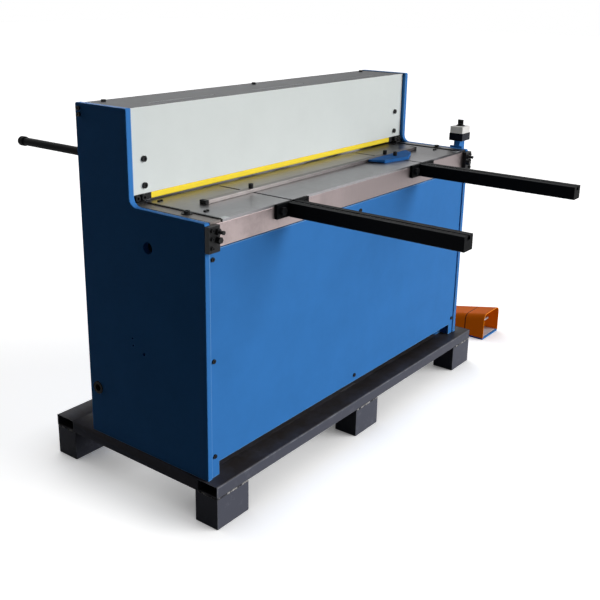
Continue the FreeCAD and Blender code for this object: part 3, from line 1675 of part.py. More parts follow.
def hold_down_bolts():
    """Make the four bolts that hang the hold-down from the ram."""
    bolts = []
    for side in spring_bolt_sides():
        at = (side, "hold_down_middle")
        low = "ram_lug_top + slide_clearance"
        shank = rod("z", "spring_bolt_radius", "hold_down_top - spring_bolt_depth", low, at)
        head = rod("z", "spring_bolt_head_radius", low, f"{low} + spring_bolt_head_height", at)
        bolts.append(join(shank, head))
    return group(*bolts)


def coil(x, y, low, high, mean_radius, wire, curls):
    """Give a spring of round wire, swept along a helix; all sizes are numbers."""
    rise = (high - low - wire) / curls
    helix = Part.makeHelix(rise, high - low - wire, mean_radius)
    ring = Part.Wire(Part.makeCircle(wire / 2, Vector(mean_radius, 0, 0), Vector(0, 1, 0)))
    spring = Part.Wire(helix.Edges).makePipeShell([ring], True, True)
    print("spring", round(x), "gap between curls", round(rise - wire, 2))
    spring.translate(Vector(x, y, low + wire / 2))
    return spring


def hold_down_springs():
    """Make the four springs that press the hold-down away from the ram."""
    gap = number("slide_clearance")
    low = number("hold_down_top") + gap
    high = number("ram_lug_bottom") - gap
    springs = [
        coil(number(side), number("hold_down_middle"), low, high, number("spring_mean_radius"),
             number("spring_wire"), number("spring_curls"))
        for side in spring_bolt_sides()
    ]
    feature = document.addObject("Part::Feature", "springs")
    feature.Shape = Part.makeCompound(springs)
    seat(feature, "0", "0", "0")
    return feature


def ram_guides():
    """Make the two grooved guides in which the ends of the ram slide."""
    guides = []
    for side in (-1, 1):
        solid = block(span(side, "guide_inner", "inner_half"), ("guide_front", "guide_rear"),
                      ("guide_bottom", "guide_top"))
        groove = block(span(side, "guide_inner", "ram_half + slide_clearance"),
                       ("ram_front - slide_clearance", "ram_rear + slide_clearance"),
                       ("guide_bottom", "guide_top"))
        guides.append(cut(solid, groove))
    return group(*guides)


def cylinder_barrels():
    """Make the two cylinders that push up under the ends of the ram, each with its port."""
    barrels = []
    for side in (-1, 1):
        at = (f"{side} * cylinder_side", "ram_middle")
        body = rod("z", "barrel_radius", "cylinder_bottom", "cylinder_top", at)
        port = rod("x", "port_radius",
                   *span(side, "cylinder_side - port_reach", "cylinder_side"),
                   ("ram_middle", "port_height"))
        chamber = rod("z", "barrel_bore_radius", "cylinder_bottom + cylinder_end_wall",
                      "cylinder_top - cylinder_end_wall", at)
        mouth = rod("z", "rod_radius + running_clearance", "cylinder_top - cylinder_end_wall",
                    "cylinder_top", at)
        barrels.append(cut(join(body, port), chamber, mouth))
    return group(*barrels)


def piston_rods():
    """Make the two pistons with their rods and the clevis blocks under the ram."""
    rods = []
    for side in (-1, 1):
        at = (f"{side} * cylinder_side", "ram_middle")
        piston = rod("z", "barrel_bore_radius - running_clearance", "piston_bottom",
                     "piston_bottom + piston_height", at)
        stem = rod("z", "rod_radius", "piston_bottom", "clevis_bottom", at)
        inset = "2 * slide_clearance + running_clearance"
        clevis = block(span(side, "clevis_inner", "clevis_outer"),
                       (f"ram_front + {inset}", f"ram_rear - {inset}"),
                       ("clevis_bottom", "ram_shoulder"))
        rods.append(join(piston, stem, clevis))
    return group(*rods)


def back_gauge_rods():
    """Make the two round rods behind the ram, with their rounded black ends."""
    rods = []
    for side in (-1, 1):
        at = (f"{side} * gauge_rod_side", "gauge_rod_height")
        shaft = rod("y", "gauge_rod_radius", "ram_rear - blade_screw_grip", "gauge_rod_end", at)
        end = rod("y", "gauge_cap_radius", "gauge_rod_end - gauge_cap_length / 2",
                  "gauge_rod_end + gauge_cap_length / 2", at)
        rods.append(join(shaft, smooth(end, "gauge_cap_radius / 2", lambda edge: True)))
    return group(*rods)


def back_stop():
    """Make the stop bar that rides on the rods, with its sleeves and star knobs."""
    bar = block(("-stop_bar_half", "stop_bar_half"), ("stop_bar_front", "stop_bar_rear"),
                ("stop_bar_bottom", "stop_bar_top"))
    parts = [bar]
    bores = []
    knobs = []
    middle = "(stop_bar_front + stop_bar_rear) / 2"
    for side in (-1, 1):
        x = f"{side} * gauge_rod_side"
        at = (x, "gauge_rod_height")
        y = (f"{middle} - sleeve_length / 2", f"{middle} + sleeve_length / 2")
        parts.append(block((f"{x} - hanger_half", f"{x} + hanger_half"),
                           ("stop_bar_front", "stop_bar_rear"), ("stop_bar_top", "gauge_rod_height")))
        parts.append(rod("y", "sleeve_radius", *y, at))
        bores.append(rod("y", "gauge_rod_radius + slide_clearance / 2", *y, at))
        top = "gauge_rod_height + sleeve_radius"
        seat_of_screw = "gauge_rod_height + gauge_rod_radius + slide_clearance"
        bores.append(rod("z", "star_screw_radius", "gauge_rod_height", top, (x, middle)))
        screw = rod("z", "star_screw_radius", seat_of_screw, f"{top} + star_screw_length", (x, middle))
        grip = rod("z", "star_knob_radius", f"{top} + star_screw_length",
                   f"{top} + star_screw_length + star_knob_height", (x, middle))
        lobes = []
        for step in range(STAR_LOBES):
            angle = 2 * math.pi * step / STAR_LOBES
            lobes.append(rod("z", "star_hollow_radius", f"{top} + star_screw_length",
                             f"{top} + star_screw_length + star_knob_height",
                             (f"{x} + star_knob_radius * {math.cos(angle):.4f}",
                              f"{middle} + star_knob_radius * {math.sin(angle):.4f}")))
        knobs.append(join(screw, cut(grip, *lobes)))
    return group(cut(join(*parts), *bores), *knobs)


def rear_chute():
    """Make the sheet that lets the cut strips slide out over the rear cross tube."""
    slope = "((chute_bend - rear_cross_tube_top - 2 * sheet_thickness) / (top_cover_rear - table_rear))"
    over = f"chute_bend - {slope} * (top_cover_rear - table_rear)"
    body = outline_body("side", [
        ("table_rear", "chute_bend - sheet_thickness"),
        ("table_rear", "chute_top"),
        ("table_rear + sheet_thickness", "chute_top"),
        ("table_rear + sheet_thickness", "chute_bend"),
        ("top_cover_rear", over),
        ("top_cover_rear", "rear_cross_tube_top + slide_clearance"),
    ], "2 * chute_half")
    seat(body, "-chute_half", "0", "0")
    return body


def oil_tank():
    """Make the tank of the hydraulic unit, with its lid."""
    x = ("tank_left", "tank_right")
    y = ("tank_front", "tank_rear")
    inner = [
        (f"{low} + tank_wall", f"{high} - tank_wall")
        for low, high in (x, y, ("floor_top", "tank_top"))
    ]
    return cut(block(x, y, ("floor_top", "tank_top")), block(*inner))


def motor_and_pump():
    """Make the upright motor on the tank's lid, and the pump that hangs in the oil below it."""
    at = ("motor_side", "unit_back")
    low = "tank_top + motor_flange_height"
    flange = rod("z", "motor_flange_radius", "tank_top", low, at)
    body = rod("z", "motor_radius", low, f"{low} + motor_height", at)
    top = f"{low} + motor_height"
    cover = smooth(rod("z", "motor_radius", top, f"{top} + motor_fan_cover_height", at),
                   "motor_fan_cover_round",
                   lambda edge: isinstance(edge.Curve, Part.Circle)
                   and edge.CenterOfMass.z > number("pallet_height + tank_top + motor_height"
                                                    " + motor_fan_cover_height / 2"))
    grooves = []
    count = int(number("motor_fin_count"))
    for step in range(count):
        start = f"{low} + ({step} + 0.5) * motor_height / (motor_fin_count + 0.5)"
        end = f"{start} + motor_height / (2 * motor_fin_count + 1)"
        ring = cut(rod("z", "motor_radius + motor_fin_depth", start, end, at),
                   rod("z", "motor_radius - motor_fin_depth", start, end, at))
        grooves.append(ring)
    pump = rod("z", "pump_radius", "tank_top - tank_wall - pump_height", "tank_top - tank_wall", at)
    return group(join(flange, cut(body, *grooves), cover), pump)


def valve_block():
    """Make the valve block with its two solenoids."""
    solid = block(("valve_left", "valve_right"),
                  ("unit_back - valve_half_depth", "unit_back + valve_half_depth"),
                  ("tank_top", "tank_top + valve_height"))
    level = "tank_top + valve_height / 2"
    solenoids = [
        rod("y", "solenoid_radius", "unit_back - valve_half_depth - solenoid_length",
            "unit_back - valve_half_depth", (f"valve_side + {side} * solenoid_spread", level))
        for side in (-1, 1)
    ]
    return join(solid, *solenoids)


def hose(start_x, end_x):
    """Give one pressure hose: out of the valve block to the rear, then along to a cylinder."""
    lift = number("pallet_height + port_height")
    front = number("unit_back + valve_half_depth")
    back = number("ram_middle")
    bend = number("hose_bend_radius")
    way = math.copysign(1, end_x - start_x)
    points = [
        Vector(start_x, front, lift),
        Vector(start_x, back - bend, lift),
        Vector(start_x + way * bend, back, lift),
        Vector(end_x, back, lift),
    ]
    corner = math.sqrt(0.5)
    middle = Vector(start_x + way * bend * (1 - corner), back - bend * (1 - corner), lift)
    path = Part.Wire([
        Part.LineSegment(points[0], points[1]).toShape(),
        Part.Arc(points[1], middle, points[2]).toShape(),
        Part.LineSegment(points[2], points[3]).toShape(),
    ])
    radius = number("hose_radius")
    ring = Part.Wire(Part.makeCircle(radius, points[0], Vector(0, 1, 0)))
    tube_of_hose = path.makePipeShell([ring], True, True)
    expected = math.pi * radius ** 2 * path.Length
    print("hose volume over section times length", round(tube_of_hose.Volume / expected, 4))
    return tube_of_hose


def pressure_hoses():
    """Make the two hoses from the valve block to the ports of the cylinders."""
    reach = number("cylinder_side - port_reach")
    feature = document.addObject("Part::Feature", "hoses")
    feature.Shape = Part.makeCompound([
        hose(number("left_hose_side"), -reach),
        hose(number("right_hose_side"), reach),
    ])
    return feature


def electrical_cabinet():
    """Make the sheet box with the electrical gear."""
    x = ("-cabinet_left", "-cabinet_right")
    y = ("cabinet_front", "cabinet_rear")
    z = ("floor_top", "floor_top + cabinet_height")
    inner = [(f"{low} + cabinet_wall", f"{high} - cabinet_wall") for low, high in (x, y, z)]
    return cut(block(x, y, z), block(*inner))


def control_post():
    """Make the post of the control box, welded on its mounting plate."""
    plate = block(("outer_half", "outer_half + mount_plate_thickness"),
                  ("mount_plate_front", "mount_plate_rear"), ("mount_plate_bottom", "mount_plate_top"))
    post = block(("outer_half + mount_plate_thickness", "post_right"), ("post_front", "post_rear"),
                 ("post_bottom", "control_bottom"))
    return join(plate, post)


def control_box():
    """Make the black lower half of the control box."""
    x = ("control_left", "control_right")
    y = ("control_front", "control_rear")
    z = ("control_bottom", "control_base_top")
    shell = smooth(block(x, y, z), "control_corner_radius", runs_along("z"))
    hollow = block((f"{x[0]} + control_wall", f"{x[1]} - control_wall"),
                   (f"{y[0]} + control_wall", f"{y[1]} - control_wall"),
                   (f"{z[0]} + control_wall", z[1]))
    return cut(shell, hollow)


def control_box_lid():
    """Make the pale upper half of the control box."""
    x = ("control_left + control_lid_inset", "control_right - control_lid_inset")
    y = ("control_front + control_lid_inset", "control_rear - control_lid_inset")
    z = ("control_base_top", "control_lid_top")
    shell = smooth(block(x, y, z), "control_corner_radius",
                   lambda edge: edge.CenterOfMass.z > number("control_base_top + pallet_height") + 1)
    hollow = block((f"{x[0]} + control_wall", f"{x[1]} - control_wall"),
                   (f"{y[0]} + control_wall", f"{y[1]} - control_wall"),
                   (z[0], f"{z[1]} - control_wall"))
    bore = rod("z", "selector_bush_radius", "control_lid_top - control_wall", "control_lid_top",
               ("selector_side", "selector_back"))
    return cut(shell, hollow, bore)


def selector_switch():
    """Make the body of the selector: ring on the lid, bush through it and contact block below."""
    at = ("selector_side", "selector_back")
    under = "control_lid_top - control_wall"
    ring = rod("z", "selector_ring_radius", "control_lid_top", "ring_top", at)
    bush = rod("z", "selector_bush_radius", under, "control_lid_top", at)
    contacts = block(("selector_side - contact_block_half", "selector_side + contact_block_half"),
                     ("selector_back - contact_block_half", "selector_back + contact_block_half"),
                     (f"{under} - contact_block_height", under))
    bore = rod("z", "selector_stem_radius + running_clearance", f"{under} - contact_block_height / 2",
               "ring_top", at)
    return cut(join(ring, bush, contacts), bore)


def selector_knob():
    """Make the turning knob with its raised grip."""
    at = ("selector_side", "selector_back")
    low = "ring_top + slide_clearance"
    skirt = rod("z", "selector_knob_radius", low, f"{low} + selector_knob_height / 3", at)
    disc = rod("z", "selector_knob_radius", low, f"{low} + selector_knob_height", at)
    grip = block(("selector_side - selector_grip_width / 2", "selector_side + selector_grip_width / 2"),
                 ("selector_back - selector_knob_radius", "selector_back + selector_knob_radius"),
                 (low, f"{low} + selector_knob_height"))
    stem = rod("z", "selector_stem_radius", "control_lid_top - control_wall - selector_stem_grip",
               low, at)
    return join(skirt, common(disc, grip), stem)


def pedal_base():
    """Make the blue plate on the floor that carries the foot pedal."""
    plate = block(("pedal_left", "pedal_right"), ("pedal_front", "pedal_rear"),
                  ("-pallet_height", "pedal_floor"))
    return smooth(plate, "pedal_wall", runs_along("z"))


def pedal_roof(back, inset):
    """Give the height of the hood at a place from front to rear; it falls toward the rear."""
    return f"pedal_top - pedal_fall * (({back}) - pedal_front) - ({inset})"


def pedal_shell(inset, rear):
    """Make the filled form of the hood from its open front to a rear, drawn in by an inset."""
    solid = outline_body("side", [
        ("pedal_front", "pedal_floor"),
        (rear, "pedal_floor"),
        (rear, pedal_roof(rear, inset)),
        ("pedal_front", pedal_roof("pedal_front", inset)),
    ], f"pedal_width - 2 * ({inset})")
    seat(solid, f"pedal_left + {inset}", "0", "0")
    level = number("pedal_base_height + gland_height")
    width = number("pedal_seam_width")
    return smooth(solid, f"pedal_hood_radius - ({inset})",
                  lambda edge: edge.BoundBox.YLength > width and edge.CenterOfMass.z > level)


def pedal_hood():
    """Make the orange hood over the pedal, open to the front, with a seam before its rear part."""
    outside = pedal_shell("0", "pedal_rear")
    inside = pedal_shell("pedal_wall", "pedal_rear - pedal_wall")
    ring = cut(
        block(("pedal_left", "pedal_right"),
              ("pedal_seam_back", "pedal_seam_back + pedal_seam_width"),
              ("pedal_floor", "pedal_top")),
        pedal_shell("pedal_seam_depth", "pedal_rear"),
    )
    at = ("pivot_back", "pivot_level")
    pin = rod("x", "pivot_radius", "pedal_left", "pedal_right", at)
    gland = rod("y", "gland_radius", "pedal_rear - pedal_wall", "pedal_rear",
                ("pedal_middle", "pedal_floor + gland_height"))
    return cut(outside, inside, ring, pin, gland)


def pedal_hinge():
    """Make the hinge pin of the treadle, with the coil round it that lifts the treadle."""
    pin = rod("x", "pivot_radius", "pedal_left", "pedal_right", ("pivot_back", "pivot_level"))
    left = number("pedal_left + pedal_wall + slide_clearance")
    right = number("pedal_left + treadle_side_gap - slide_clearance")
    spring = coil(0, 0, left, right, number("pedal_spring_radius"), number("pedal_spring_wire"),
                  number("pedal_spring_curls"))
    feature = document.addObject("Part::Feature", "torsion_spring")
    feature.Shape = Part.makeCompound([spring])
    feature.Placement = FreeCAD.Placement(Vector(), TURNS["x"])
    seat(feature, "0", "pivot_back", "pivot_level")
    return group(pin, feature)


def pedal_treadle():
    """Make the treadle that the foot presses, with its hub on the pin."""
    body = outline_body("side", [
        ("treadle_front", "pivot_level + treadle_rise"),
        ("pivot_back", "pivot_level - treadle_thickness / 2"),
        ("pivot_back", "pivot_level + treadle_thickness / 2"),
        ("treadle_front", "pivot_level + treadle_rise + treadle_thickness"),
    ], "pedal_width - 2 * treadle_side_gap")
    seat(body, "pedal_left + treadle_side_gap", "0", "0")
    at = ("pivot_back", "pivot_level")
    x = ("pedal_left + treadle_side_gap", "pedal_right - treadle_side_gap")
    hub = rod("x", "treadle_hub_radius", *x, at)
    bore = rod("x", "pivot_radius + running_clearance", *x, at)
    return cut(join(body, hub), bore)


def pedal_switch():
    """Make the switch block behind the treadle and the gland where its cable comes out."""
    switch = block(("pedal_middle - pedal_switch_half", "pedal_middle + pedal_switch_half"),
                   ("pedal_switch_front", "pedal_rear - pedal_wall"),
                   ("pedal_floor", "pedal_floor + pedal_switch_height"))
    at = ("pedal_middle", "pedal_floor + gland_height")
    neck = rod("y", "gland_radius", "pedal_rear - pedal_wall", "pedal_rear", at)
    nut = hexagon("y", "gland_nut_size", "pedal_rear", "pedal_rear + gland_length", at)
    bore = rod("y", "gland_bore_radius", "pedal_rear", "pedal_rear + gland_length", at)
    return cut(join(switch, neck, nut), bore)


node("side_plate_left", cut(side_plate(-1), *block_screw_bores()))
node("side_plate_right", cut(side_plate(1), *block_screw_bores()))
for make in (
    base_rails, cross_beams, frame_brackets, floor_plate, front_panel, rear_panel, cover_screws,
    pallet_rails, pallet_feet, frame_bolts, cable_grommets,
    table_top, table_bed, table_apron, side_gauge_strips, table_screws, corner_plates,
    corner_blocks, front_bolts, support_arms,
    gauge_bar, gauge_bar_clamps, angle_stop, angle_stop_bolt,
    front_cover, cover_brackets, finger_guard, top_cover, rear_tie_beam,
    lower_blade, lower_blade_screws, upper_blade, upper_blade_screws, ram_beam,
    hold_down_beam, hold_down_bolts, hold_down_springs, ram_guides,
    cylinder_barrels, piston_rods, back_gauge_rods, back_stop, rear_chute,
    oil_tank, motor_and_pump, valve_block, pressure_hoses, electrical_cabinet,
    control_post, control_box, control_box_lid, selector_switch, selector_knob,
    pedal_base, pedal_hood, pedal_hinge, pedal_treadle, pedal_switch,
):
    node(make.__name__, make())

document.recompute()
for thing in document.Objects:
    if "Invalid" in thing.State or "Error" in thing.State:
        raise RuntimeError(f"{thing.Label} failed: {thing.State}")
for name, solid in nodes.items():
    if solid.Shape.isNull() or not solid.Shape.isValid():
        raise RuntimeError(f"{name} has no valid shape")

os.makedirs("parts", exist_ok=True)
for name, solid in nodes.items():
    solid.Shape.exportStep(os.path.join("parts", name + ".step"))
print(len(nodes), "sub-parts,", sum(len(solid.Shape.Solids) for solid in nodes.values()), "solids")
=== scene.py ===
# %% [markdown]
# # A hydraulic guillotine shear, dressed for its portrait
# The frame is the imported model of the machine: every plate, screw and joint is already there,
# in metres, with the floor at z = 0. This lesson leaves those shapes where they are. It gives
# each one the surface of the real thing, rounds the edges that catch the light, and adds the
# small pieces that a stand-in would lack.

# %% Load the frame
import json
import math

import bmesh
import bpy
import numpy as np
from mathutils import Matrix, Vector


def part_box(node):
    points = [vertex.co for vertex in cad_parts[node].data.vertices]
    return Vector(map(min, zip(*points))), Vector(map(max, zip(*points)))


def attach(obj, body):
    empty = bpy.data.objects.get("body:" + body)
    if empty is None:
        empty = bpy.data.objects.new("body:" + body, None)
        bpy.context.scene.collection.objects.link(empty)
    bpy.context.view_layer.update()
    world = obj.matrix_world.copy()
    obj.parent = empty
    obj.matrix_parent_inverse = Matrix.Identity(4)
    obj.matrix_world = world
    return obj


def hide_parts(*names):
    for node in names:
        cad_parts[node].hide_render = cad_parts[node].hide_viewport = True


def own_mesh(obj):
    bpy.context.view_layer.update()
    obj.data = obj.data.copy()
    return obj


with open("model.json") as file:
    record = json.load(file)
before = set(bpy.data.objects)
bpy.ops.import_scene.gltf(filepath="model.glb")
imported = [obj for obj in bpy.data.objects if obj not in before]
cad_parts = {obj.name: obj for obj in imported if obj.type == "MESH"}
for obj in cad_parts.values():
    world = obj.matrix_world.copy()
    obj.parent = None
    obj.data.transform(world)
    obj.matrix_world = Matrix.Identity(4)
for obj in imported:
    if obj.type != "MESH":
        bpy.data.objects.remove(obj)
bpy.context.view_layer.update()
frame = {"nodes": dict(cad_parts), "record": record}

body_of = {node: body for body, nodes in frame["record"]["behaviour"]["bodies"].items()
           for node in nodes}
MM = 0.001

# %% [markdown]
# ## Colours and nodes
# Colours are written as they look on a screen, as hex. Cycles counts in linear light, so one
# function turns a hex value to linear. A second function adds one shader node with its
# settings and its links, which is all that a material needs. The last one tells which rays
# come from the eye, because the floor and the sky look brighter than the light they give.

# %% Helpers for materials
def linear(code):
    """Turn a hex colour to linear light.

    That is c / 12.92 below 0.04045, and else (c + 0.055) / 1.055 to the power 2.4.
    """
    parts = np.array([int(code[i:i + 2], 16) / 255 for i in (1, 3, 5)])
    light = np.where(parts < 0.04045, parts / 12.92, ((parts + 0.055) / 1.055) ** 2.4)
    return (*light.tolist(), 1.0)


def add(tree, kind, values=None, links=None, **settings):
    """Add a node, set its fields and its sockets' values, and link outputs of other nodes to it."""
    node = tree.nodes.new(kind)
    for field, value in settings.items():
        setattr(node, field, value)
    for socket, value in (values or {}).items():
        node.inputs[socket].default_value = value
    for socket, output in (links or {}).items():
        tree.links.new(output, node.inputs[socket])
    return node


def blank(name):
    """Start an empty material, and return it with its tree and its Object coordinates."""
    material = bpy.data.materials.new(name)
    material.use_nodes = True
    tree = material.node_tree
    tree.nodes.clear()
    return material, tree, add(tree, "ShaderNodeTexCoord").outputs["Object"]


def shades(colour, drift):
    """Give a colour's darker and lighter neighbours, a share away in linear light, and the colour."""
    base = linear(colour)
    low = (*(part * (1 - drift) for part in base[:3]), 1.0)
    high = (*(min(part * (1 + drift), 1.0) for part in base[:3]), 1.0)
    return low, high, base


def seen_directly(tree):
    """Give 1 for the camera's rays and for those that mirror or pass through, and 0 for the rest."""
    rays = add(tree, "ShaderNodeLightPath")
    seen = add(tree, "ShaderNodeMath", None,
               {0: rays.outputs["Is Camera Ray"], 1: rays.outputs["Is Glossy Ray"]},
               operation="MAXIMUM")
    seen = add(tree, "ShaderNodeMath", None,
               {0: seen.outputs[0], 1: rays.outputs["Is Transmission Ray"]}, operation="MAXIMUM")
    return seen.outputs[0]


print("white is", linear("#ffffff"), "and mid grey is", round(linear("#808080")[0], 3))

# %% [markdown]
# ## The camera
# The photograph was taken from the front left, a little above the table, from over three
# metres away. A camera could be placed by eye, but the machine's straight edges fix it: they give
# the place, the turn, the tilt and the focal length. The shift stands for the picture being
# cropped off centre.

# %% Set the camera
CAMERA_PLACE = (-2.484, -1.6034, 1.5774)
CAMERA_TURN = 52.597
CAMERA_TILT = 16.983
CAMERA_ROLL = 0.893
FOCAL_LENGTH = 52.42
SENSOR_WIDTH = 36.0
PICTURE_SHIFT = (0.0115, -0.0762)

turn, tilt, roll = (math.radians(angle) for angle in (CAMERA_TURN, CAMERA_TILT, CAMERA_ROLL))
forward = np.array([math.sin(turn) * math.cos(tilt), math.cos(turn) * math.cos(tilt),
                    -math.sin(tilt)])
level_right = np.array([math.cos(turn), -math.sin(turn), 0.0])
level_up = np.cross(level_right, forward)
right = math.cos(roll) * level_right + math.sin(roll) * level_up
up = -math.sin(roll) * level_right + math.cos(roll) * level_up

lens = bpy.data.cameras.new("camera")
lens.lens = FOCAL_LENGTH
lens.sensor_width = SENSOR_WIDTH
lens.shift_x, lens.shift_y = PICTURE_SHIFT
camera = bpy.data.objects.new("camera", lens)
pose = np.eye(4)
pose[:3, 0], pose[:3, 1], pose[:3, 2], pose[:3, 3] = right, up, -forward, CAMERA_PLACE
camera.matrix_world = Matrix(pose.tolist())
bpy.context.scene.collection.objects.link(camera)
bpy.context.scene.camera = camera
print("the camera looks along", forward.round(3))

# %% [markdown]
# ## Floor and light
# The light is a large soft lamp low at the front right. It fills the front and leaves the
# left side in deep shade, which is what gives the machine its weight. A weaker lamp behind
# shows the rear when the machine is seen from there. A sun lamp of strength pi shows a white
# surface that faces it as white, so the strengths below are shares of pi.
# The background is white only to the camera, and to glossy and clear surfaces that mirror it.
# As light on the rest it is weak, so the shade stays deep.

# %% Make the world
KEY_SHARE = 1.10
KEY_SOFTNESS = 50
KEY_FROM = (0.50, -0.83, 0.27)
REAR_SHARE = 0.62
REAR_SOFTNESS = 70
REAR_FROM = (0.35, 0.90, 0.22)
SHADE_LEVEL = 0.020

world = bpy.data.worlds.new("studio")
bpy.context.scene.world = world
world.use_nodes = True
tree = world.node_tree
tree.nodes.clear()
level = add(tree, "ShaderNodeMapRange", {"To Min": SHADE_LEVEL, "To Max": 1.0},
            {"Value": seen_directly(tree)})
sky = add(tree, "ShaderNodeBackground", {"Color": linear("#ffffff")}, {"Strength": level.outputs[0]})
add(tree, "ShaderNodeOutputWorld", None, {"Surface": sky.outputs[0]})


def hang_lamp(name, toward, share, softness):
    """Hang a sun lamp whose light comes from a direction, with a share of full light and an angle."""
    sun = bpy.data.lights.new(name, "SUN")
    sun.energy = share * math.pi
    sun.angle = math.radians(softness)
    lamp = bpy.data.objects.new(name, sun)
    back = np.array(toward) / np.linalg.norm(toward)
    side = np.cross((0.0, 0.0, 1.0), back)
    side /= np.linalg.norm(side)
    stand = np.eye(4)
    stand[:3, 0], stand[:3, 1], stand[:3, 2] = side, np.cross(back, side), back
    lamp.matrix_world = Matrix(stand.tolist())
    bpy.context.scene.collection.objects.link(lamp)


hang_lamp("key", KEY_FROM, KEY_SHARE, KEY_SOFTNESS)
hang_lamp("rear", REAR_FROM, REAR_SHARE, REAR_SOFTNESS)
print("the key lamp is", KEY_SHARE, "of full light and the shade is", SHADE_LEVEL)

# %% [markdown]
# ## New surfaces from formulas
# Each added piece is a sheet of points: a function of two numbers, u along it and v round it,
# worked out for the whole grid at once. The grid becomes quads, and a seam is closed by
# joining the last column to the first.

# %% A grid of points becomes a mesh
def surface(name, points, round_v=False, round_u=False):
    """Make a mesh from points[u, v]: each cell is a quad, and a round way wraps to its start."""
    rows, columns = points.shape[:2]
    index = np.arange(rows * columns).reshape(rows, columns)
    if round_u:
        index = np.vstack([index, index[:1]])
    if round_v:
        index = np.hstack([index, index[:, :1]])
    quads = np.stack([index[:-1, :-1], index[1:, :-1], index[1:, 1:], index[:-1, 1:]], -1)
    mesh = bpy.data.meshes.new(name)
    mesh.from_pydata(points.reshape(-1, 3), [], quads.reshape(-1, 4).tolist())
    form = bmesh.new()
    form.from_mesh(mesh)
    bmesh.ops.remove_doubles(form, verts=form.verts, dist=1e-6)
    bmesh.ops.recalc_face_normals(form, faces=form.faces)
    form.to_mesh(mesh)
    form.free()
    return mesh


def together(name, meshes):
    """Put several meshes in one."""
    form = bmesh.new()
    for mesh in meshes:
        form.from_mesh(mesh)
        bpy.data.meshes.remove(mesh)
    mesh = bpy.data.meshes.new(name)
    form.to_mesh(mesh)
    form.free()
    return mesh


def show(name, mesh, materials, body, smooth_below=40):
    """Put a mesh in the scene as a piece that rides on a body, smooth below an angle."""
    for material in materials:
        mesh.materials.append(material)
    mesh.polygons.foreach_set("use_smooth", np.ones(len(mesh.polygons), bool))
    mesh.set_sharp_from_angle(angle=math.radians(smooth_below))
    piece = bpy.data.objects.new(name, mesh)
    bpy.context.scene.collection.objects.link(piece)
    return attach(piece, body)


print("helpers for new pieces are ready")

# %% [markdown]
# ## Powder coat
# The sheet steel of the machine is powder coated. The powder melts into a thick, even film
# with a faint ripple, called orange peel, and it shines softly. A plain colour would look
# like plastic, so three things change over the surface: the colour drifts by a few per cent
# over a hand's width, the ripple bends the reflections, and fine dust dulls them in patches.
# A ripple is about two millimetres wide on the real film, and is drawn at six, because the
# picture can't show less. The specular level is below the usual half, because the satin film
# hardly mirrors the room in the photograph.

# %% Powder coat in the machine's colours
def powder_coat(name, colour, roughness, specular, drift=0.10, drift_size=0.16, ripple=0.25):
    """Make a satin paint whose colour drifts by a share, over a size in metres, with a ripple."""
    material, tree, place = blank(name)
    cloud = add(tree, "ShaderNodeTexNoise", {"Scale": 1 / drift_size, "Detail": 4.0, "Roughness": 0.6},
                {"Vector": place})
    spread = add(tree, "ShaderNodeMapRange", {"From Min": 0.3, "From Max": 0.7},
                 {"Value": cloud.outputs[0]})
    low, high, _ = shades(colour, drift)
    tint = add(tree, "ShaderNodeMix", {6: low, 7: high}, {0: spread.outputs[0]}, data_type="RGBA")
    dust = add(tree, "ShaderNodeTexNoise", {"Scale": 1 / (30 * MM), "Detail": 6.0, "Roughness": 0.75},
               {"Vector": place})
    dull = add(tree, "ShaderNodeMapRange", {"To Min": roughness - 0.06, "To Max": roughness + 0.10},
               {"Value": dust.outputs[0]})
    peel = add(tree, "ShaderNodeTexNoise", {"Scale": 1 / (6 * MM), "Detail": 1.0},
               {"Vector": place})
    bumps = add(tree, "ShaderNodeBump", {"Strength": ripple, "Distance": 0.2 * MM},
                {"Height": peel.outputs[0]})
    paint = add(tree, "ShaderNodeBsdfPrincipled", {"Specular IOR Level": specular, "IOR": 1.5},
                {"Base Color": tint.outputs[2], "Roughness": dull.outputs[0],
                 "Normal": bumps.outputs[0]})
    add(tree, "ShaderNodeOutputMaterial", None, {"Surface": paint.outputs[0]})
    return material


MACHINE_BLUE = "#3b7ec6"
blue_powder_coat = powder_coat("blue_powder_coat", MACHINE_BLUE, 0.50, 0.04, drift=0.05)
white_powder_coat = powder_coat("white_powder_coat", "#dde3e1", 0.50, 0.08, drift=0.02)
grey_powder_coat = powder_coat("grey_powder_coat", "#5e6062", 0.55, 0.04, drift=0.06)
yellow_powder_coat = powder_coat("yellow_powder_coat", "#fbdf3e", 0.45, 0.08, drift=0.04)
# Painted shade: the stop's blue is a darker copy of the machine blue, for its shaded top.
shaded_blue_stop_paint = powder_coat("shaded_blue_stop_paint", "#29609f", 0.55, 0.02, drift=0.06,
                              drift_size=0.05)
print("five powder coats, the blue at", [round(part, 3) for part in linear(MACHINE_BLUE)[:3]])

# %% [markdown]
# The rounded edges get a paler paint, a painted highlight that draws each edge as a pale line.

# %% Painted highlights on the edges
blue_edge_highlight, white_edge_highlight, grey_edge_highlight = (
    powder_coat(name, colour, 0.35, 0.2, drift=drift, drift_size=0.03)
    for name, colour, drift in (("blue_edge_highlight", "#6a9fd4", 0.12),
                                ("white_edge_highlight", "#eef1f0", 0.04),
                                ("grey_edge_highlight", "#9a9da0", 0.08)))
print("edges are a shade paler than their faces")
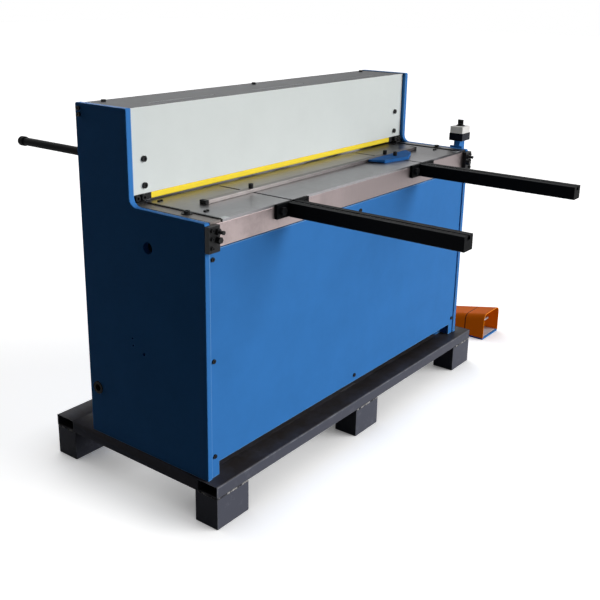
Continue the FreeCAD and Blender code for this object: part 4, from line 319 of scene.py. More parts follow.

# %% [markdown]
# ## Enamel on the pallet
# The pallet is welded tube under a coat of dark machinery enamel, brushed on wet, which dries
# to a gloss. It stands on concrete floors and is pushed about by forks. The faces that look up
# turn to a darker brown-grey, partly dust and partly painted shade on the tops, and the edges
# are paler, partly scuffed and partly a painted highlight. The darker tint is found from the
# surface's own normal: where it points up, the tint turns to dust and shade.

# %% Dark enamel with scuffs
def enamel(name, colour, scuff_colour, dust_and_shade_colour, scuff_from, roughness, scuff_size=45 * MM):
    """Make a dark enamel with scuffs where a coarse noise passes a threshold, and dust and painted shade
    on top.
    """
    material, tree, place = blank(name)
    scrape = add(tree, "ShaderNodeTexNoise", {"Scale": 1 / scuff_size, "Detail": 8.0, "Roughness": 0.7},
                 {"Vector": place})
    worn = add(tree, "ShaderNodeMapRange", {"From Min": scuff_from, "From Max": scuff_from + 0.18},
               {"Value": scrape.outputs[0]})
    tint = add(tree, "ShaderNodeMix", {6: linear(colour), 7: linear(scuff_colour)},
               {0: worn.outputs[0]}, data_type="RGBA")
    # Painted shade and dust: faces that look up take the darker dust colour in patches.
    shape = add(tree, "ShaderNodeNewGeometry")
    facing = add(tree, "ShaderNodeSeparateXYZ", None, {0: shape.outputs["Normal"]})
    upward = add(tree, "ShaderNodeMapRange", {"From Min": 0.6, "From Max": 0.95},
                 {"Value": facing.outputs[2]})
    swept = add(tree, "ShaderNodeTexNoise", {"Scale": 1 / (120 * MM), "Detail": 6.0, "Roughness": 0.7},
                {"Vector": place})
    left_over = add(tree, "ShaderNodeMapRange", {"From Min": 0.35, "From Max": 0.60, "To Min": 0.55},
                    {"Value": swept.outputs[0]})
    dust_and_top_shade = add(tree, "ShaderNodeMath", None, {0: upward.outputs[0], 1: left_over.outputs[0]},
               operation="MULTIPLY")
    tint = add(tree, "ShaderNodeMix", {7: linear(dust_and_shade_colour)},
               {0: dust_and_top_shade.outputs[0], 6: tint.outputs[2]}, data_type="RGBA")
    dull = add(tree, "ShaderNodeMapRange", {"To Min": roughness, "To Max": roughness + 0.25},
               {"Value": worn.outputs[0]})
    strokes = add(tree, "ShaderNodeTexNoise", {"Scale": 1 / (9 * MM), "Detail": 2.0},
                  {"Vector": place})
    bumps = add(tree, "ShaderNodeBump", {"Strength": 0.3, "Distance": 0.3 * MM},
                {"Height": strokes.outputs[0]})
    paint = add(tree, "ShaderNodeBsdfPrincipled", {"Specular IOR Level": 0.03},
                {"Base Color": tint.outputs[2], "Roughness": dull.outputs[0],
                 "Normal": bumps.outputs[0]})
    add(tree, "ShaderNodeOutputMaterial", None, {"Surface": paint.outputs[0]})
    return material


dark_enamel = enamel("dark_enamel", "#565863", "#6c6e79", "#3f3a39", 0.55, 0.34)
# The edge enamel is lighter: partly scuffs, partly a painted highlight on the pallet's rounded edges.
scuffed_highlit_enamel = enamel("scuffed_highlit_enamel", "#64666f", "#84868e", "#5c5856", 0.48, 0.40)
print("the enamel and its scuffed edges are ready")

# %% [markdown]
# ## Bare metal
# Metal has no colour under a film: what it shows is its own tint times what it mirrors. A
# surface that was ground or milled keeps fine parallel grooves, so its reflections blur
# across the grooves and stay sharp along them. The grooves are a noise that is squeezed
# across and stretched along. Bare steel also stains and rusts faintly where coolant and
# hands touched it, which pulls its tint to brown. Four of the metals darken toward the right
# along X, a painted reflection of dark surroundings at that end, and a painted shade
# darkens the table's rear edge at the blade.

# %% Ground, milled and turned metals
def bare_metal(name, colour, stain_colour, roughness, groove_axis, groove, stain=0.5, strength=0.35,
               painted_darkening=()):
    """Make a metal with grooves along one axis, drawn that many millimetres apart, and with stains.

    The last argument lists painted reflections and shades, each with its axis, the place in
    metres where it starts, the place where it is full, and its colour.
    """
    material, tree, place = blank(name)
    along = [2.0 if axis == groove_axis else 1 / (groove * MM) for axis in "XYZ"]
    squeezed = add(tree, "ShaderNodeMapping", {"Scale": along}, {"Vector": place})
    grooves = add(tree, "ShaderNodeTexNoise", {"Scale": 1.0, "Detail": 3.0},
                  {"Vector": squeezed.outputs[0]})
    patches = add(tree, "ShaderNodeTexNoise", {"Scale": 1 / (90 * MM), "Detail": 7.0, "Roughness": 0.65},
                  {"Vector": place})
    share = add(tree, "ShaderNodeMapRange", {"From Min": 0.45, "From Max": 0.75, "To Max": stain},
                {"Value": patches.outputs[0]})
    tint = add(tree, "ShaderNodeMix", {6: linear(colour), 7: linear(stain_colour)},
               {0: share.outputs[0]}, data_type="RGBA")
    where = add(tree, "ShaderNodeSeparateXYZ", None, {0: place})
    # The entries darken the tint along one axis: painted reflections toward the right end, and painted
    # shade at the table's rear edge.
    for axis, start, full, painted_colour in painted_darkening:
        waver = add(tree, "ShaderNodeMath", {1: 0.3 * abs(full - start)},
                    {0: patches.outputs[0], 2: where.outputs[axis]}, operation="MULTIPLY_ADD")
        painted_share = add(tree, "ShaderNodeMapRange", {"From Min": start, "From Max": full},
                    {"Value": waver.outputs[0]})
        tint = add(tree, "ShaderNodeMix", {7: linear(painted_colour)},
                   {0: painted_share.outputs[0], 6: tint.outputs[2]}, data_type="RGBA")
    streak = add(tree, "ShaderNodeMapRange", {"To Min": roughness - 0.08, "To Max": roughness + 0.12},
                 {"Value": grooves.outputs[0]})
    bumps = add(tree, "ShaderNodeBump", {"Strength": strength, "Distance": 0.05 * MM},
                {"Height": grooves.outputs[0]})
    metal = add(tree, "ShaderNodeBsdfPrincipled", {"Metallic": 1.0},
                {"Base Color": tint.outputs[2], "Roughness": streak.outputs[0],
                 "Normal": bumps.outputs[0]})
    add(tree, "ShaderNodeOutputMaterial", None, {"Surface": metal.outputs[0]})
    return material


# Painted reflection: this film darkens the table and the strips toward the right along X.
RIGHT_PAINTED_REFLECTION = ("X", 0.30, 0.62, "#2c2b2f")
# Painted shade: the table's second film darkens its rear edge at the blade, under the guard.
ground_table_steel = bare_metal("ground_table_steel", "#8a898c", "#74706d", 0.34, "X", groove=3.0,
                                painted_darkening=[RIGHT_PAINTED_REFLECTION, ("Y", 0.312, 0.320, "#232120")])
# Painted reflection: the apron's film darkens it toward the right along X.
milled_apron_steel = bare_metal("milled_apron_steel", "#a89a99", "#7d7273", 0.38, "Z", groove=4.0,
                                stain=0.9, painted_darkening=[("X", -0.75, 0.10, "#7d7373")])
ground_blade_steel = bare_metal("ground_blade_steel", "#b4b6b9", "#8c8a86", 0.28, "X", groove=2.0)
bright_steel = bare_metal("bright_steel", "#aeb0b2", "#8f8d88", 0.30, "X", groove=2.5)
# Painted reflection: the gauge bar's film darkens it toward the right along X.
drawn_bar_steel = bare_metal("drawn_bar_steel", "#85807e", "#635c59", 0.40, "X", groove=3.0,
                             painted_darkening=[("X", -0.35, 0.45, "#3f3b3c")])
turned_rod_steel = bare_metal("turned_rod_steel", "#a9abae", "#8d8b87", 0.24, "Y", groove=2.0,
                              stain=0.2)
oiled_spring_steel = bare_metal("oiled_spring_steel", "#5c5c5e", "#3d3733", 0.34, "Z", groove=2.0)
# Painted reflection: the strips darken toward the right along X.
worn_strip_steel = bare_metal("worn_strip_steel", "#77716e", "#5a5350", 0.38, "Y", groove=3.0,
                              painted_darkening=[RIGHT_PAINTED_REFLECTION])
# Painted shade: the bed is near black, for the shade deep in the gaps beside the strips.
bed_steel_painted_shade = bare_metal("bed_steel_painted_shade", "#1e1e20", "#141312", 0.45, "X", groove=3.0,
                            strength=0.2)
cast_brass = bare_metal("cast_brass", "#c6a563", "#8d6f3a", 0.34, "Y", groove=3.0)
machined_aluminium = bare_metal("machined_aluminium", "#c3c6c9", "#a5a6a6", 0.32, "X", groove=2.0,
                                stain=0.2)
print("eleven bare metals are ready")

# %% [markdown]
# ## Black oxide
# The screws and the clamps are blackened in a hot salt bath. The layer is only a
# thousandth of a millimetre thick, so it shows the steel's grain and keeps an oily sheen.
# The arms are black too, but painted, and are drawn duller.

# %% Blackened steel and black paint
def blackened(name, colour, rubbed_colour, roughness, specular):
    """Make a dark oily finish with a fine grain and faint rubbed patches."""
    material, tree, place = blank(name)
    grain = add(tree, "ShaderNodeTexNoise", {"Scale": 1 / (4 * MM), "Detail": 5.0, "Roughness": 0.7},
                {"Vector": place})
    rubbed = add(tree, "ShaderNodeTexNoise", {"Scale": 1 / (35 * MM), "Detail": 5.0},
                 {"Vector": place})
    share = add(tree, "ShaderNodeMapRange", {"From Min": 0.5, "From Max": 0.8},
                {"Value": rubbed.outputs[0]})
    tint = add(tree, "ShaderNodeMix", {6: linear(colour), 7: linear(rubbed_colour)},
               {0: share.outputs[0]}, data_type="RGBA")
    sheen = add(tree, "ShaderNodeMapRange", {"To Min": roughness - 0.08, "To Max": roughness + 0.12},
                {"Value": grain.outputs[0]})
    bumps = add(tree, "ShaderNodeBump", {"Strength": 0.3, "Distance": 0.08 * MM},
                {"Height": grain.outputs[0]})
    coat = add(tree, "ShaderNodeBsdfPrincipled", {"Specular IOR Level": specular},
               {"Base Color": tint.outputs[2], "Roughness": sheen.outputs[0],
                "Normal": bumps.outputs[0]})
    add(tree, "ShaderNodeOutputMaterial", None, {"Surface": coat.outputs[0]})
    return material


black_oxide = blackened("black_oxide", "#0b0c0e", "#1c1d20", 0.42, 0.16)
black_arm_paint = blackened("black_arm_paint", "#030406", "#08090c", 0.50, 0.03)
# Painted highlight: a lighter black for the edges of the arms and the corner blocks.
black_arm_edge_highlight = blackened("black_arm_edge_highlight", "#1c1e22", "#34363c", 0.40, 0.2)
print("three blacks are ready")

# %% [markdown]
# ## Moulded plastic and rubber
# The pedal's hood, the control box and the knobs are injection moulded. The mould was
# spark eroded, which leaves a fine even pebble on the plastic and takes the gloss off.
# Rubber is the same but darker and duller, and it holds pale dust in its pores. The
# orange hood, its rim and the pale lid glow a little in their own colour, a painted light
# that keeps them bright in the shade.

# %% Plastics and rubber
def moulded(name, colour, roughness, specular, pebble=2.5, strength=0.35, drift=0.08, glow=0.0):
    """Make a moulded surface with a pebble of that many millimetres and a little uneven colour.

    glow is the share of its own colour that it gives off as painted light, also in the shade.
    """
    material, tree, place = blank(name)
    cells = add(tree, "ShaderNodeTexVoronoi", {"Scale": 1 / (pebble * MM)}, {"Vector": place})
    cloud = add(tree, "ShaderNodeTexNoise", {"Scale": 1 / (25 * MM), "Detail": 4.0},
                {"Vector": place})
    low, high, base = shades(colour, drift)
    tint = add(tree, "ShaderNodeMix", {6: low, 7: high}, {0: cloud.outputs[0]}, data_type="RGBA")
    dull = add(tree, "ShaderNodeMapRange", {"To Min": roughness - 0.05, "To Max": roughness + 0.08},
               {"Value": cloud.outputs[0]})
    bumps = add(tree, "ShaderNodeBump", {"Strength": strength, "Distance": 0.1 * MM},
                {"Height": cells.outputs[0]})
    plastic = add(tree, "ShaderNodeBsdfPrincipled",
                  {"Specular IOR Level": specular, "Emission Color": base, "Emission Strength": glow},
                  {"Base Color": tint.outputs[2], "Roughness": dull.outputs[0],
                   "Normal": bumps.outputs[0]})
    add(tree, "ShaderNodeOutputMaterial", None, {"Surface": plastic.outputs[0]})
    return material


# Painted light: the hood glows in its own colour, so it stays bright in the shade.
orange_moulded_plastic = moulded("orange_moulded_plastic", "#c85c06", 0.50, 0.02, glow=0.24)
# Painted highlight: a lighter orange for the hood's rim, which glows too.
orange_hood_edge_highlight = moulded("orange_hood_edge_highlight", "#f08a1c", 0.45, 0.04, glow=0.25)
black_moulded_plastic = moulded("black_moulded_plastic", "#0a0b0c", 0.45, 0.12)
navy_moulded_plastic = moulded("navy_moulded_plastic", "#050b1a", 0.40, 0.08)
# Painted light: the lid glows a little in its own colour.
pale_moulded_plastic = moulded("pale_moulded_plastic", "#eceae7", 0.45, 0.08, glow=0.08)
grey_moulded_plastic = moulded("grey_moulded_plastic", "#c4c6c9", 0.50, 0.12)
pale_rubber_mat = moulded("pale_rubber_mat", "#d8dade", 0.60, 0.10, pebble=4.0)
black_rubber = moulded("black_rubber", "#0c0c0d", 0.70, 0.08, pebble=3.5)
print("six plastics and two rubbers are ready")

# %% [markdown]
# ## The floor
# The machine stands on a pale studio floor that runs out of sight. Only the camera and
# mirror-like surfaces see it bright: part of its brightness is its own, so the shadow on it
# stays soft, and to every other ray it is a dim grey that throws little light up the sides.
# Its own brightness fades where the open air above it is shut out, as under the pallet, a painted shadow
# there.

# %% Lay the floor
FLOOR_HALF = 30.0
FLOOR_GLOW = 0.74
SHADOW_REACH = 0.22
SHADOW_FALL = 1.2
material, tree, place = blank("studio_floor")
seen = seen_directly(tree)
grain = add(tree, "ShaderNodeTexNoise", {"Scale": 3.0, "Detail": 3.0}, {"Vector": place})
pale = add(tree, "ShaderNodeMix", {6: linear("#fbfbfb"), 7: linear("#ffffff")}, {0: grain.outputs[0]},
           data_type="RGBA")
# Painted shadow: the floor's own brightness fades under the pallet and close to the machine.
open_air = add(tree, "ShaderNodeAmbientOcclusion", {"Distance": SHADOW_REACH})
open_air = add(tree, "ShaderNodeMath", {1: SHADOW_FALL}, {0: open_air.outputs["AO"]},
               operation="POWER")
own_light = add(tree, "ShaderNodeMath", {1: FLOOR_GLOW}, {0: open_air.outputs[0]},
                operation="MULTIPLY")
matt = add(tree, "ShaderNodeBsdfDiffuse", None, {"Color": pale.outputs[2]})
glow = add(tree, "ShaderNodeEmission", {"Color": linear("#ffffff")},
           {"Strength": own_light.outputs[0]})
bright = add(tree, "ShaderNodeAddShader", None, {0: matt.outputs[0], 1: glow.outputs[0]})
dim = add(tree, "ShaderNodeBsdfDiffuse", {"Color": linear("#3c3c3c")})
either = add(tree, "ShaderNodeMixShader", None,
             {0: seen, 1: dim.outputs[0], 2: bright.outputs[0]})
add(tree, "ShaderNodeOutputMaterial", None, {"Surface": either.outputs[0]})

corners = FLOOR_HALF * np.array([[[-1, -1, 0], [-1, 1, 0]], [[1, -1, 0], [1, 1, 0]]], float)
floor_mesh = surface("floor", corners)
floor_mesh.materials.append(material)
floor = bpy.data.objects.new("floor", floor_mesh)
bpy.context.scene.collection.objects.link(floor)
if floor_mesh.polygons[0].normal.z < 0:
    floor_mesh.flip_normals()
print("the floor is", 2 * FLOOR_HALF, "m wide")

# %% [markdown]
# ## Rounded edges
# No real edge is perfectly sharp. Folded sheet has the radius of its bend, milled steel is
# broken with a file, and each of these catches a thin line of light that tells the eye where
# one face ends. A Bevel modifier would round every edge, the small ones round a screw hole
# too. Here the triangles of a copy are welded, flat neighbours are merged, and only
# the long outer corners are cut, with the paler edge material on the cut as a painted
# highlight. Weighted normals keep the big faces flat beside the small round ones.

# %% A finished copy stands for its node
SHARP_CORNER = 30
SHORTEST_EDGE = 12 * MM


def finished(node, material, edge, radius, shortest=SHORTEST_EDGE, merged=True):
    """Weld a copy of a node, round its long outer edges, and show it instead of the node.

    Edges that end where another body touches are left sharp.
    """
    form = bmesh.new()
    form.from_mesh(frame["nodes"][node].data)
    bmesh.ops.remove_doubles(form, verts=form.verts, dist=1e-5)
    if merged:
        bmesh.ops.dissolve_limit(form, angle_limit=math.radians(0.5), verts=form.verts,
                                 edges=form.edges)
    if radius:
        touching = {end for line in form.edges if len(line.link_faces) != 2
                    for end in line.verts}
        corners = [line for line in form.edges if len(line.link_faces) == 2 and line.is_convex
                   and line.calc_length() > shortest and not touching.intersection(line.verts)
                   and line.calc_face_angle() > math.radians(SHARP_CORNER)]
        # The cut faces get the second material, which paints a highlight on the edge where it is paler.
        bmesh.ops.bevel(form, geom=corners, offset=radius, offset_type="OFFSET", segments=2,
                        profile=0.5, affect="EDGES", clamp_overlap=False, material=1)
    mesh = bpy.data.meshes.new(f"{node}_finish")
    form.to_mesh(mesh)
    form.free()
    piece = show(f"{node}_finish", mesh, [material, edge], body_of[node],
                 smooth_below=SHARP_CORNER)
    flat_faces = piece.modifiers.new("flat_faces", "WEIGHTED_NORMAL")
    flat_faces.keep_sharp = True
    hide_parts(node)
    return piece


SHEET_EDGE = 1.6 * MM
PLATE_EDGE = 2.2 * MM
TUBE_EDGE = 4.0 * MM
MACHINED_EDGE = 1.0 * MM
# The edge material in each entry paints a highlight on the rounded edges where it is paler than the
# face.
finishes = {
    "side_plate_left": (blue_powder_coat, blue_edge_highlight, PLATE_EDGE),
    "side_plate_right": (blue_powder_coat, blue_edge_highlight, PLATE_EDGE),
    "front_panel": (blue_powder_coat, blue_edge_highlight, SHEET_EDGE),
    "rear_panel": (blue_powder_coat, blue_edge_highlight, 0.6 * MM),
    "base_rails": (blue_powder_coat, blue_edge_highlight, PLATE_EDGE),
    "cross_beams": (blue_powder_coat, blue_edge_highlight, TUBE_EDGE),
    "rear_tie_beam": (blue_powder_coat, blue_edge_highlight, PLATE_EDGE),
    "ram_beam": (blue_powder_coat, blue_edge_highlight, PLATE_EDGE),
    "hold_down_beam": (blue_powder_coat, blue_edge_highlight, PLATE_EDGE),
    "back_stop": (blue_powder_coat, blue_edge_highlight, MACHINED_EDGE),
    "front_cover": (white_powder_coat, white_edge_highlight, SHEET_EDGE / 2),
    "top_cover": (grey_powder_coat, grey_edge_highlight, SHEET_EDGE / 2),
    "rear_chute": (grey_powder_coat, grey_edge_highlight, SHEET_EDGE / 2),
    "oil_tank": (grey_powder_coat, grey_edge_highlight, PLATE_EDGE),
    "electrical_cabinet": (grey_powder_coat, grey_edge_highlight, PLATE_EDGE),
    "pallet_rails": (dark_enamel, scuffed_highlit_enamel, TUBE_EDGE, SHORTEST_EDGE, False),
    "pallet_feet": (dark_enamel, scuffed_highlit_enamel, TUBE_EDGE / 2),
    "table_top": (ground_table_steel, ground_table_steel, MACHINED_EDGE / 2),
    "side_gauge_strips": (worn_strip_steel, worn_strip_steel, MACHINED_EDGE / 2),
    "table_bed": (bed_steel_painted_shade, bed_steel_painted_shade, MACHINED_EDGE),
    "table_apron": (milled_apron_steel, milled_apron_steel, MACHINED_EDGE),
    "corner_plates": (bright_steel, bright_steel, 0.0),
    "corner_blocks": (black_oxide, black_arm_edge_highlight, MACHINED_EDGE),
    "support_arms": (black_arm_paint, black_arm_edge_highlight, PLATE_EDGE, 0.15),
    "gauge_bar": (drawn_bar_steel, drawn_bar_steel, MACHINED_EDGE),
    "lower_blade": (ground_blade_steel, ground_blade_steel, 0.0),
    "upper_blade": (ground_blade_steel, ground_blade_steel, 0.0),
}
edge_triangles = 0
for node, choices in finishes.items():
    piece = finished(node, *choices)
    edge_triangles += len(piece.data.polygons)
print(len(finishes), "finished copies with", edge_triangles, "faces")

# %% [markdown]
# ## Everything else
# The remaining nodes keep their CAD mesh, whose shape is right, and only get their
# material. The guard's yellow, the stop's blue and the small black parts are all among them.

# %% Materials for the other nodes
plain = {
    blue_powder_coat: ["frame_brackets", "floor_plate", "control_post", "pedal_base"],
    shaded_blue_stop_paint: ["angle_stop"],
    yellow_powder_coat: ["finger_guard"],
    grey_powder_coat: ["motor_and_pump"],
    black_oxide: ["cover_screws", "table_screws", "cover_brackets", "lower_blade_screws",
                  "cylinder_barrels", "upper_blade_screws", "gauge_bar_clamps", "angle_stop_bolt",
                  "front_bolts", "frame_bolts"],
    bright_steel: ["pedal_hinge", "hold_down_bolts"],
    turned_rod_steel: ["piston_rods"],
    black_arm_paint: ["back_gauge_rods"],
    black_rubber: ["cable_grommets", "pressure_hoses"],
    cast_brass: ["ram_guides"],
    machined_aluminium: ["valve_block"],
    oiled_spring_steel: ["hold_down_springs"],
    navy_moulded_plastic: ["control_box"],
    pale_moulded_plastic: ["control_box_lid"],
    black_moulded_plastic: ["selector_switch", "pedal_switch", "selector_knob"],
    orange_moulded_plastic: ["pedal_hood"],
    grey_moulded_plastic: ["pedal_treadle"],
}
for material, names in plain.items():
    for node in names:
        frame["nodes"][node].data.materials.clear()
        frame["nodes"][node].data.materials.append(material)
dressed = set(finishes) | {node for names in plain.values() for node in names}
print("nodes without a finish:", sorted(set(frame["nodes"]) - dressed))

# %% [markdown]
# ## Weld beads under the pallet's tubes
# Each foot is a short piece of square tube that is welded to the long tube above it. The
# bead is a chain of drops, one behind the other as the electrode moves on, and brushed enamel
# doesn't hold on its crests, so pale metal shows there in dots. A flat line would look
# drawn. Here the bead is a half round whose radius swells and shrinks along its length,
# and the chips are a noise that passes a threshold.

# %% The bead's finish and its form
chipped_weld = enamel("chipped_weld", "#3c3d44", "#d6d4d1", "#3c3836", 0.46, 0.45, scuff_size=16 * MM)


def weld_bead(start, end, outward, radius=3.0 * MM, drop=6 * MM):
    """Make a bead along a line on a face whose outward direction is given.

    Round the line run seven points of a half circle. Its radius is the radius times one plus a
    fifth of a sine whose period is the length of a drop, and it shrinks to a point over the
    first and the last millimetres.
    """
    start, end, outward = (np.array(part, float) for part in (start, end, outward))
    length = np.linalg.norm(end - start)
    way = (end - start) / length
    across = np.cross(way, outward)
    run = np.linspace(0, length, int(4 * length / drop))[:, None, None]
    turn = np.linspace(0, np.pi, 7)[None, :, None]
    swell = radius * (1 + 0.2 * np.sin(2 * np.pi * run / drop))
    swell = swell * np.clip(np.minimum(run, length - run) / radius, 0, 1)
    points = start + way * run + swell * (across * np.cos(turn) + 0.55 * outward * np.sin(turn))
    return surface("weld_bead", points, round_v=True)


FOOT_SPANS = ((-0.799, -0.654), (-0.050, 0.096), (0.700, 0.845))
SIDE_SEAMS = ((-0.041, 0.038), (0.625, 0.704))
feet_low, feet_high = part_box("pallet_feet")
seam = feet_high.z
bead_gap = 3 * MM
beads = []
for left, right in FOOT_SPANS:
    for y, outward in ((feet_low.y, (0, -1, 0)), (feet_high.y, (0, 1, 0))):
        beads.append(weld_bead((left + bead_gap, y, seam), (right - bead_gap, y, seam), outward))
for x, outward in ((feet_low.x, (-1, 0, 0)), (feet_high.x, (1, 0, 0))):
    for start, end in SIDE_SEAMS:
        beads.append(weld_bead((x, start, seam), (x, end, seam), outward))
pallet_welds = show("pallet_welds", together("pallet_welds", beads), [chipped_weld],
                    body_of["pallet_feet"])
print(len(beads), "weld beads with", len(pallet_welds.data.polygons), "faces")

# %% [markdown]
# ## Washers under the strips' screws
# The screws that hold the side strips stand on broad washers, because the strips can be
# shifted a little when the blades are set. A washer is a square profile turned round an axis,
# so its grid closes both ways.

# %% Washers
def washer(centre, inner, outer, thickness):
    """Make a ring: the four corners of its section turn round the upright axis in 48 steps."""
    turn = np.linspace(0, 2 * np.pi, 48, endpoint=False)[:, None]
    radius = np.array([inner, outer, outer, inner])[None, :]
    height = np.array([0, 0, thickness, thickness])[None, :] + 0 * turn
    points = np.stack([radius * np.cos(turn), radius * np.sin(turn), height], -1)
    return surface("washer", points + np.array(centre, float), round_v=True, round_u=True)


table_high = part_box("table_top")[1].z
screw_reach = 738 * MM
screw_depth = 118 * MM
washer_bore = 9.4 * MM
washer_radius = 17 * MM
washer_thickness = 2.5 * MM
washers = [washer((x, screw_depth, table_high), washer_bore, washer_radius, washer_thickness)
           for x in (-screw_reach, screw_reach)]
show("strip_washers", together("strip_washers", washers), [black_oxide],
     body_of["side_gauge_strips"])
print("washers of", round(2 * washer_radius / MM), "mm under the strips' screws")

# %% [markdown]
# ## Small blocks with broken corners
# The gauge bar has a black cap on each end, a black block over the joint between the
# table and each strip paints the shade in that joint, the pedal has a grey mat on its base,
# and a gasket is squeezed out between the two halves of the control box. Each is a plain
# block whose corners are broken.
# The section is an eight-sided outline, and the block is that outline at six places along X:
# shrunk to its middle, drawn in, full, full, drawn in, and shrunk again.

# %% A block with broken corners
def small_block(low, high, broken):
    """Make a block between two corners whose edges are all cut back by a length."""
    low, high = np.array(low, float), np.array(high, float)
    middle, half = (low + high) / 2, (high - low) / 2
    cut = broken / half
    outline = np.array([(-1, -1 + cut[2]), (-1 + cut[1], -1), (1 - cut[1], -1), (1, -1 + cut[2]),
                        (1, 1 - cut[2]), (1 - cut[1], 1), (-1 + cut[1], 1), (-1, 1 - cut[2])])
    place = np.array([-1, -1, -1 + cut[0], 1 - cut[0], 1, 1])
    drawn_in = 1 - cut[1:]
    size = np.array([(0, 0), drawn_in, (1, 1), (1, 1), drawn_in, (0, 0)])
    points = np.concatenate([np.broadcast_to(place[:, None, None], (6, 8, 1)),
                             size[:, None, :] * outline[None, :, :]], -1)
    return surface("small_block", middle + half * points, round_v=True)


bar_low, bar_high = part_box("gauge_bar")
cap_end = 2 * MM
cap_reach = 13 * MM
cap_lift = 0.6 * MM
caps = [small_block((near, bar_low.y - cap_lift, bar_low.z),
                    (far, bar_high.y + cap_lift, bar_high.z + cap_lift), 0.5 * MM)
        for near, far in ((bar_low.x - cap_end, bar_low.x + cap_reach),
                          (bar_high.x - cap_reach, bar_high.x + cap_end))]
show("bar_caps", together("bar_caps", caps), [black_moulded_plastic],
     body_of["gauge_bar"])

table_low, table_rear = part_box("table_top")
joint_offset = 4.5 * MM
joint_half = 4.2 * MM
joint_front, joint_back = 4 * MM, 300 * MM
joint_bottom, joint_top = table_high + 0.2 * MM, table_high + 3 * MM
# Painted shade: a black block lies over the joint between the table and each side strip.
joint_shade_blocks = [small_block((x - joint_half, joint_front, joint_bottom),
                     (x + joint_half, joint_back, joint_top), 0.6 * MM)
         for x in (table_low.x - joint_offset, table_rear.x + joint_offset)]
show("joint_shade_strips", together("joint_shade_strips", joint_shade_blocks), [black_oxide],
     body_of["side_gauge_strips"])

box_low, box_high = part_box("control_box")
gasket_inset = 0.8 * MM
gasket_lift = 1.4 * MM
gasket_mesh = small_block(
    (box_low.x + gasket_inset, box_low.y + gasket_inset, box_high.z - gasket_inset),
    (box_high.x - gasket_inset, box_high.y - gasket_inset, box_high.z + gasket_lift), 0.3 * MM)
show("control_box_gasket", gasket_mesh, [black_rubber],
     body_of["control_box"])

base_low, base_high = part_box("pedal_base")
mat_side, mat_front, mat_rear = 9 * MM, 7 * MM, 40 * MM
mat_mesh = small_block(
    (base_low.x + mat_side, base_low.y + mat_front, base_high.z - 0.2 * MM),
    (base_high.x - mat_side, base_high.y - mat_rear, base_high.z + 1.4 * MM), 0.6 * MM)
show("pedal_mat", mat_mesh, [pale_rubber_mat],
     body_of["pedal_base"])
print("two caps, two rules, a gasket and a mat")

# %% [markdown]
# ## Dark sheets in the pallet
# Two dark sheets, 3 mm thick, lie in the pallet's frame behind its front tube, level with the
# top of the tubes, and make what is seen under the front panel dark. They run between the
# three tubes that cross the frame.

# %% Two sheets behind the front tube
rails_low, rails_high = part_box("pallet_rails")
tube_width = 85 * MM
cross_width = 100 * MM
middle_cross = 23 * MM
right_inset = 55 * MM
sheet_front = rails_low.y + tube_width
sheet_depth = 170 * MM
sheet_thickness = 3 * MM
sheet_spans = ((rails_low.x + cross_width, middle_cross - cross_width / 2),
              (middle_cross + cross_width / 2, rails_high.x - right_inset - cross_width))
sheets = [small_block((left, sheet_front, rails_high.z - sheet_thickness),
                      (right, sheet_front + sheet_depth, rails_high.z), 0.4 * MM)
          for left, right in sheet_spans]
show("pallet_dark_sheets", together("pallet_dark_sheets", sheets), [dark_enamel],
     body_of["pallet_rails"])
print("deck sheets of", [round((right - left) / MM) for left, right in sheet_spans], "mm")

# %% [markdown]
# ## The joint round the pedal's hood
# The hood is moulded in two parts, with a groove between them. A black band in the groove
# paints the shade of that seam. It follows the outline of the hood: up one wall, round the
# corner, over the roof and down again. The outline is worked out in numpy at four places
# across the band, and the roof falls toward the rear.
# The same outline, drawn five times round the thickness of the wall, gives the rounded rim of
# the opening, in a lighter orange that paints a highlight there.

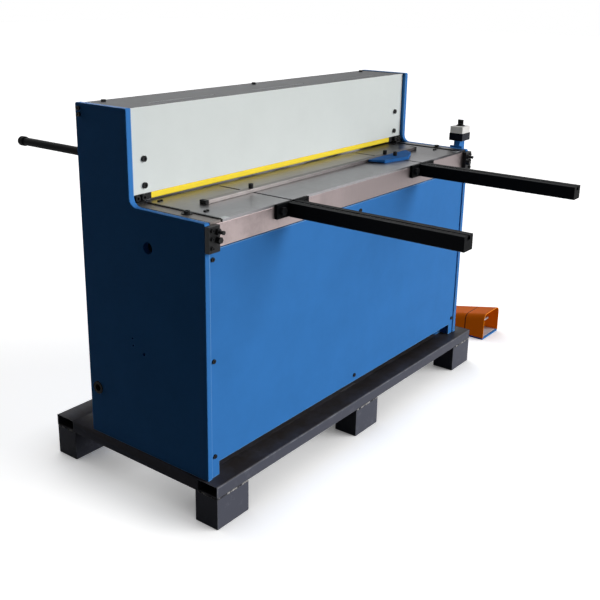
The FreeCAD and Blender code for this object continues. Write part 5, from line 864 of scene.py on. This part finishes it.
# %% Painted shade in the hood's groove
def hood_outline(y, inset):
    """Give the points of the hood's outline at a place from front to rear, drawn in by an inset.

    Each top corner is a quarter circle in eight steps, and the walls run down to the base.
    """
    left, right = hood_low.x + inset, hood_high.x - inset
    share = (y - hood_low.y) / (hood_high.y - hood_low.y)
    top = HOOD_FRONT_TOP + (HOOD_REAR_TOP - HOOD_FRONT_TOP) * share - inset
    radius = HOOD_CORNER - inset
    turn = np.linspace(0, np.pi / 2, 9)
    back = turn[::-1]
    x = np.concatenate([[left], left + radius * (1 - np.cos(turn)),
                        right - radius * (1 - np.cos(back)), [right]])
    z = np.concatenate([[hood_low.z], top - radius * (1 - np.sin(turn)),
                        top - radius * (1 - np.sin(back)), [hood_low.z]])
    return np.stack([x, np.full_like(x, y), z], -1)


hood_low, hood_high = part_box("pedal_hood")
HOOD_FRONT_TOP = 126 * MM
HOOD_REAR_TOP = 78 * MM
HOOD_CORNER = 28 * MM
# Painted shade: the black band in the groove darkens the seam.
section = [(92.2, 2.2), (92.2, 0.6), (96.8, 0.6), (96.8, 2.2)]
seam_shade_points = np.stack([hood_outline(hood_low.y + ahead * MM, inset * MM)
                        for ahead, inset in section])
hood_seam_shade = show("hood_seam_shade", surface("hood_seam_shade", seam_shade_points, round_u=True), [black_rubber],
                 body_of["pedal_hood"])
# Painted highlight: the rim is a lighter orange than the hood.
rim = [(0.0, 0.0), (-1.1, 0.5), (-1.6, 2.0), (-1.1, 3.5), (0.0, 4.0)]
rim_points = np.stack([hood_outline(hood_low.y + ahead * MM, inset * MM)
                       for ahead, inset in rim])
hood_rim = show("hood_rim", surface("hood_rim", rim_points, round_u=True), [orange_hood_edge_highlight],
                body_of["pedal_hood"])
print("the cord and the rim have",
      len(hood_seam_shade.data.polygons) + len(hood_rim.data.polygons), "faces")

# %% [markdown]
# ## Springs between the ram and the hold-down
# Four wound springs press the hold-down onto the sheet while the ram comes down on it. The
# ram goes 55 mm down and the hold-down a fifth of that, so in the machine the springs get
# shorter. Their CAD coils are copied, and the copy rides on the hold-down.

# %% A copy of the springs
spring_mesh = frame["nodes"]["hold_down_springs"].data.copy()
spring_mesh.materials.clear()
springs = show("spring_coils", spring_mesh, [oiled_spring_steel], body_of["hold_down_springs"])
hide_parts("hold_down_springs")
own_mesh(springs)

# %% [markdown]
# ## The view transform

# %% Set the view transform
bpy.context.scene.view_settings.view_transform = "Standard"
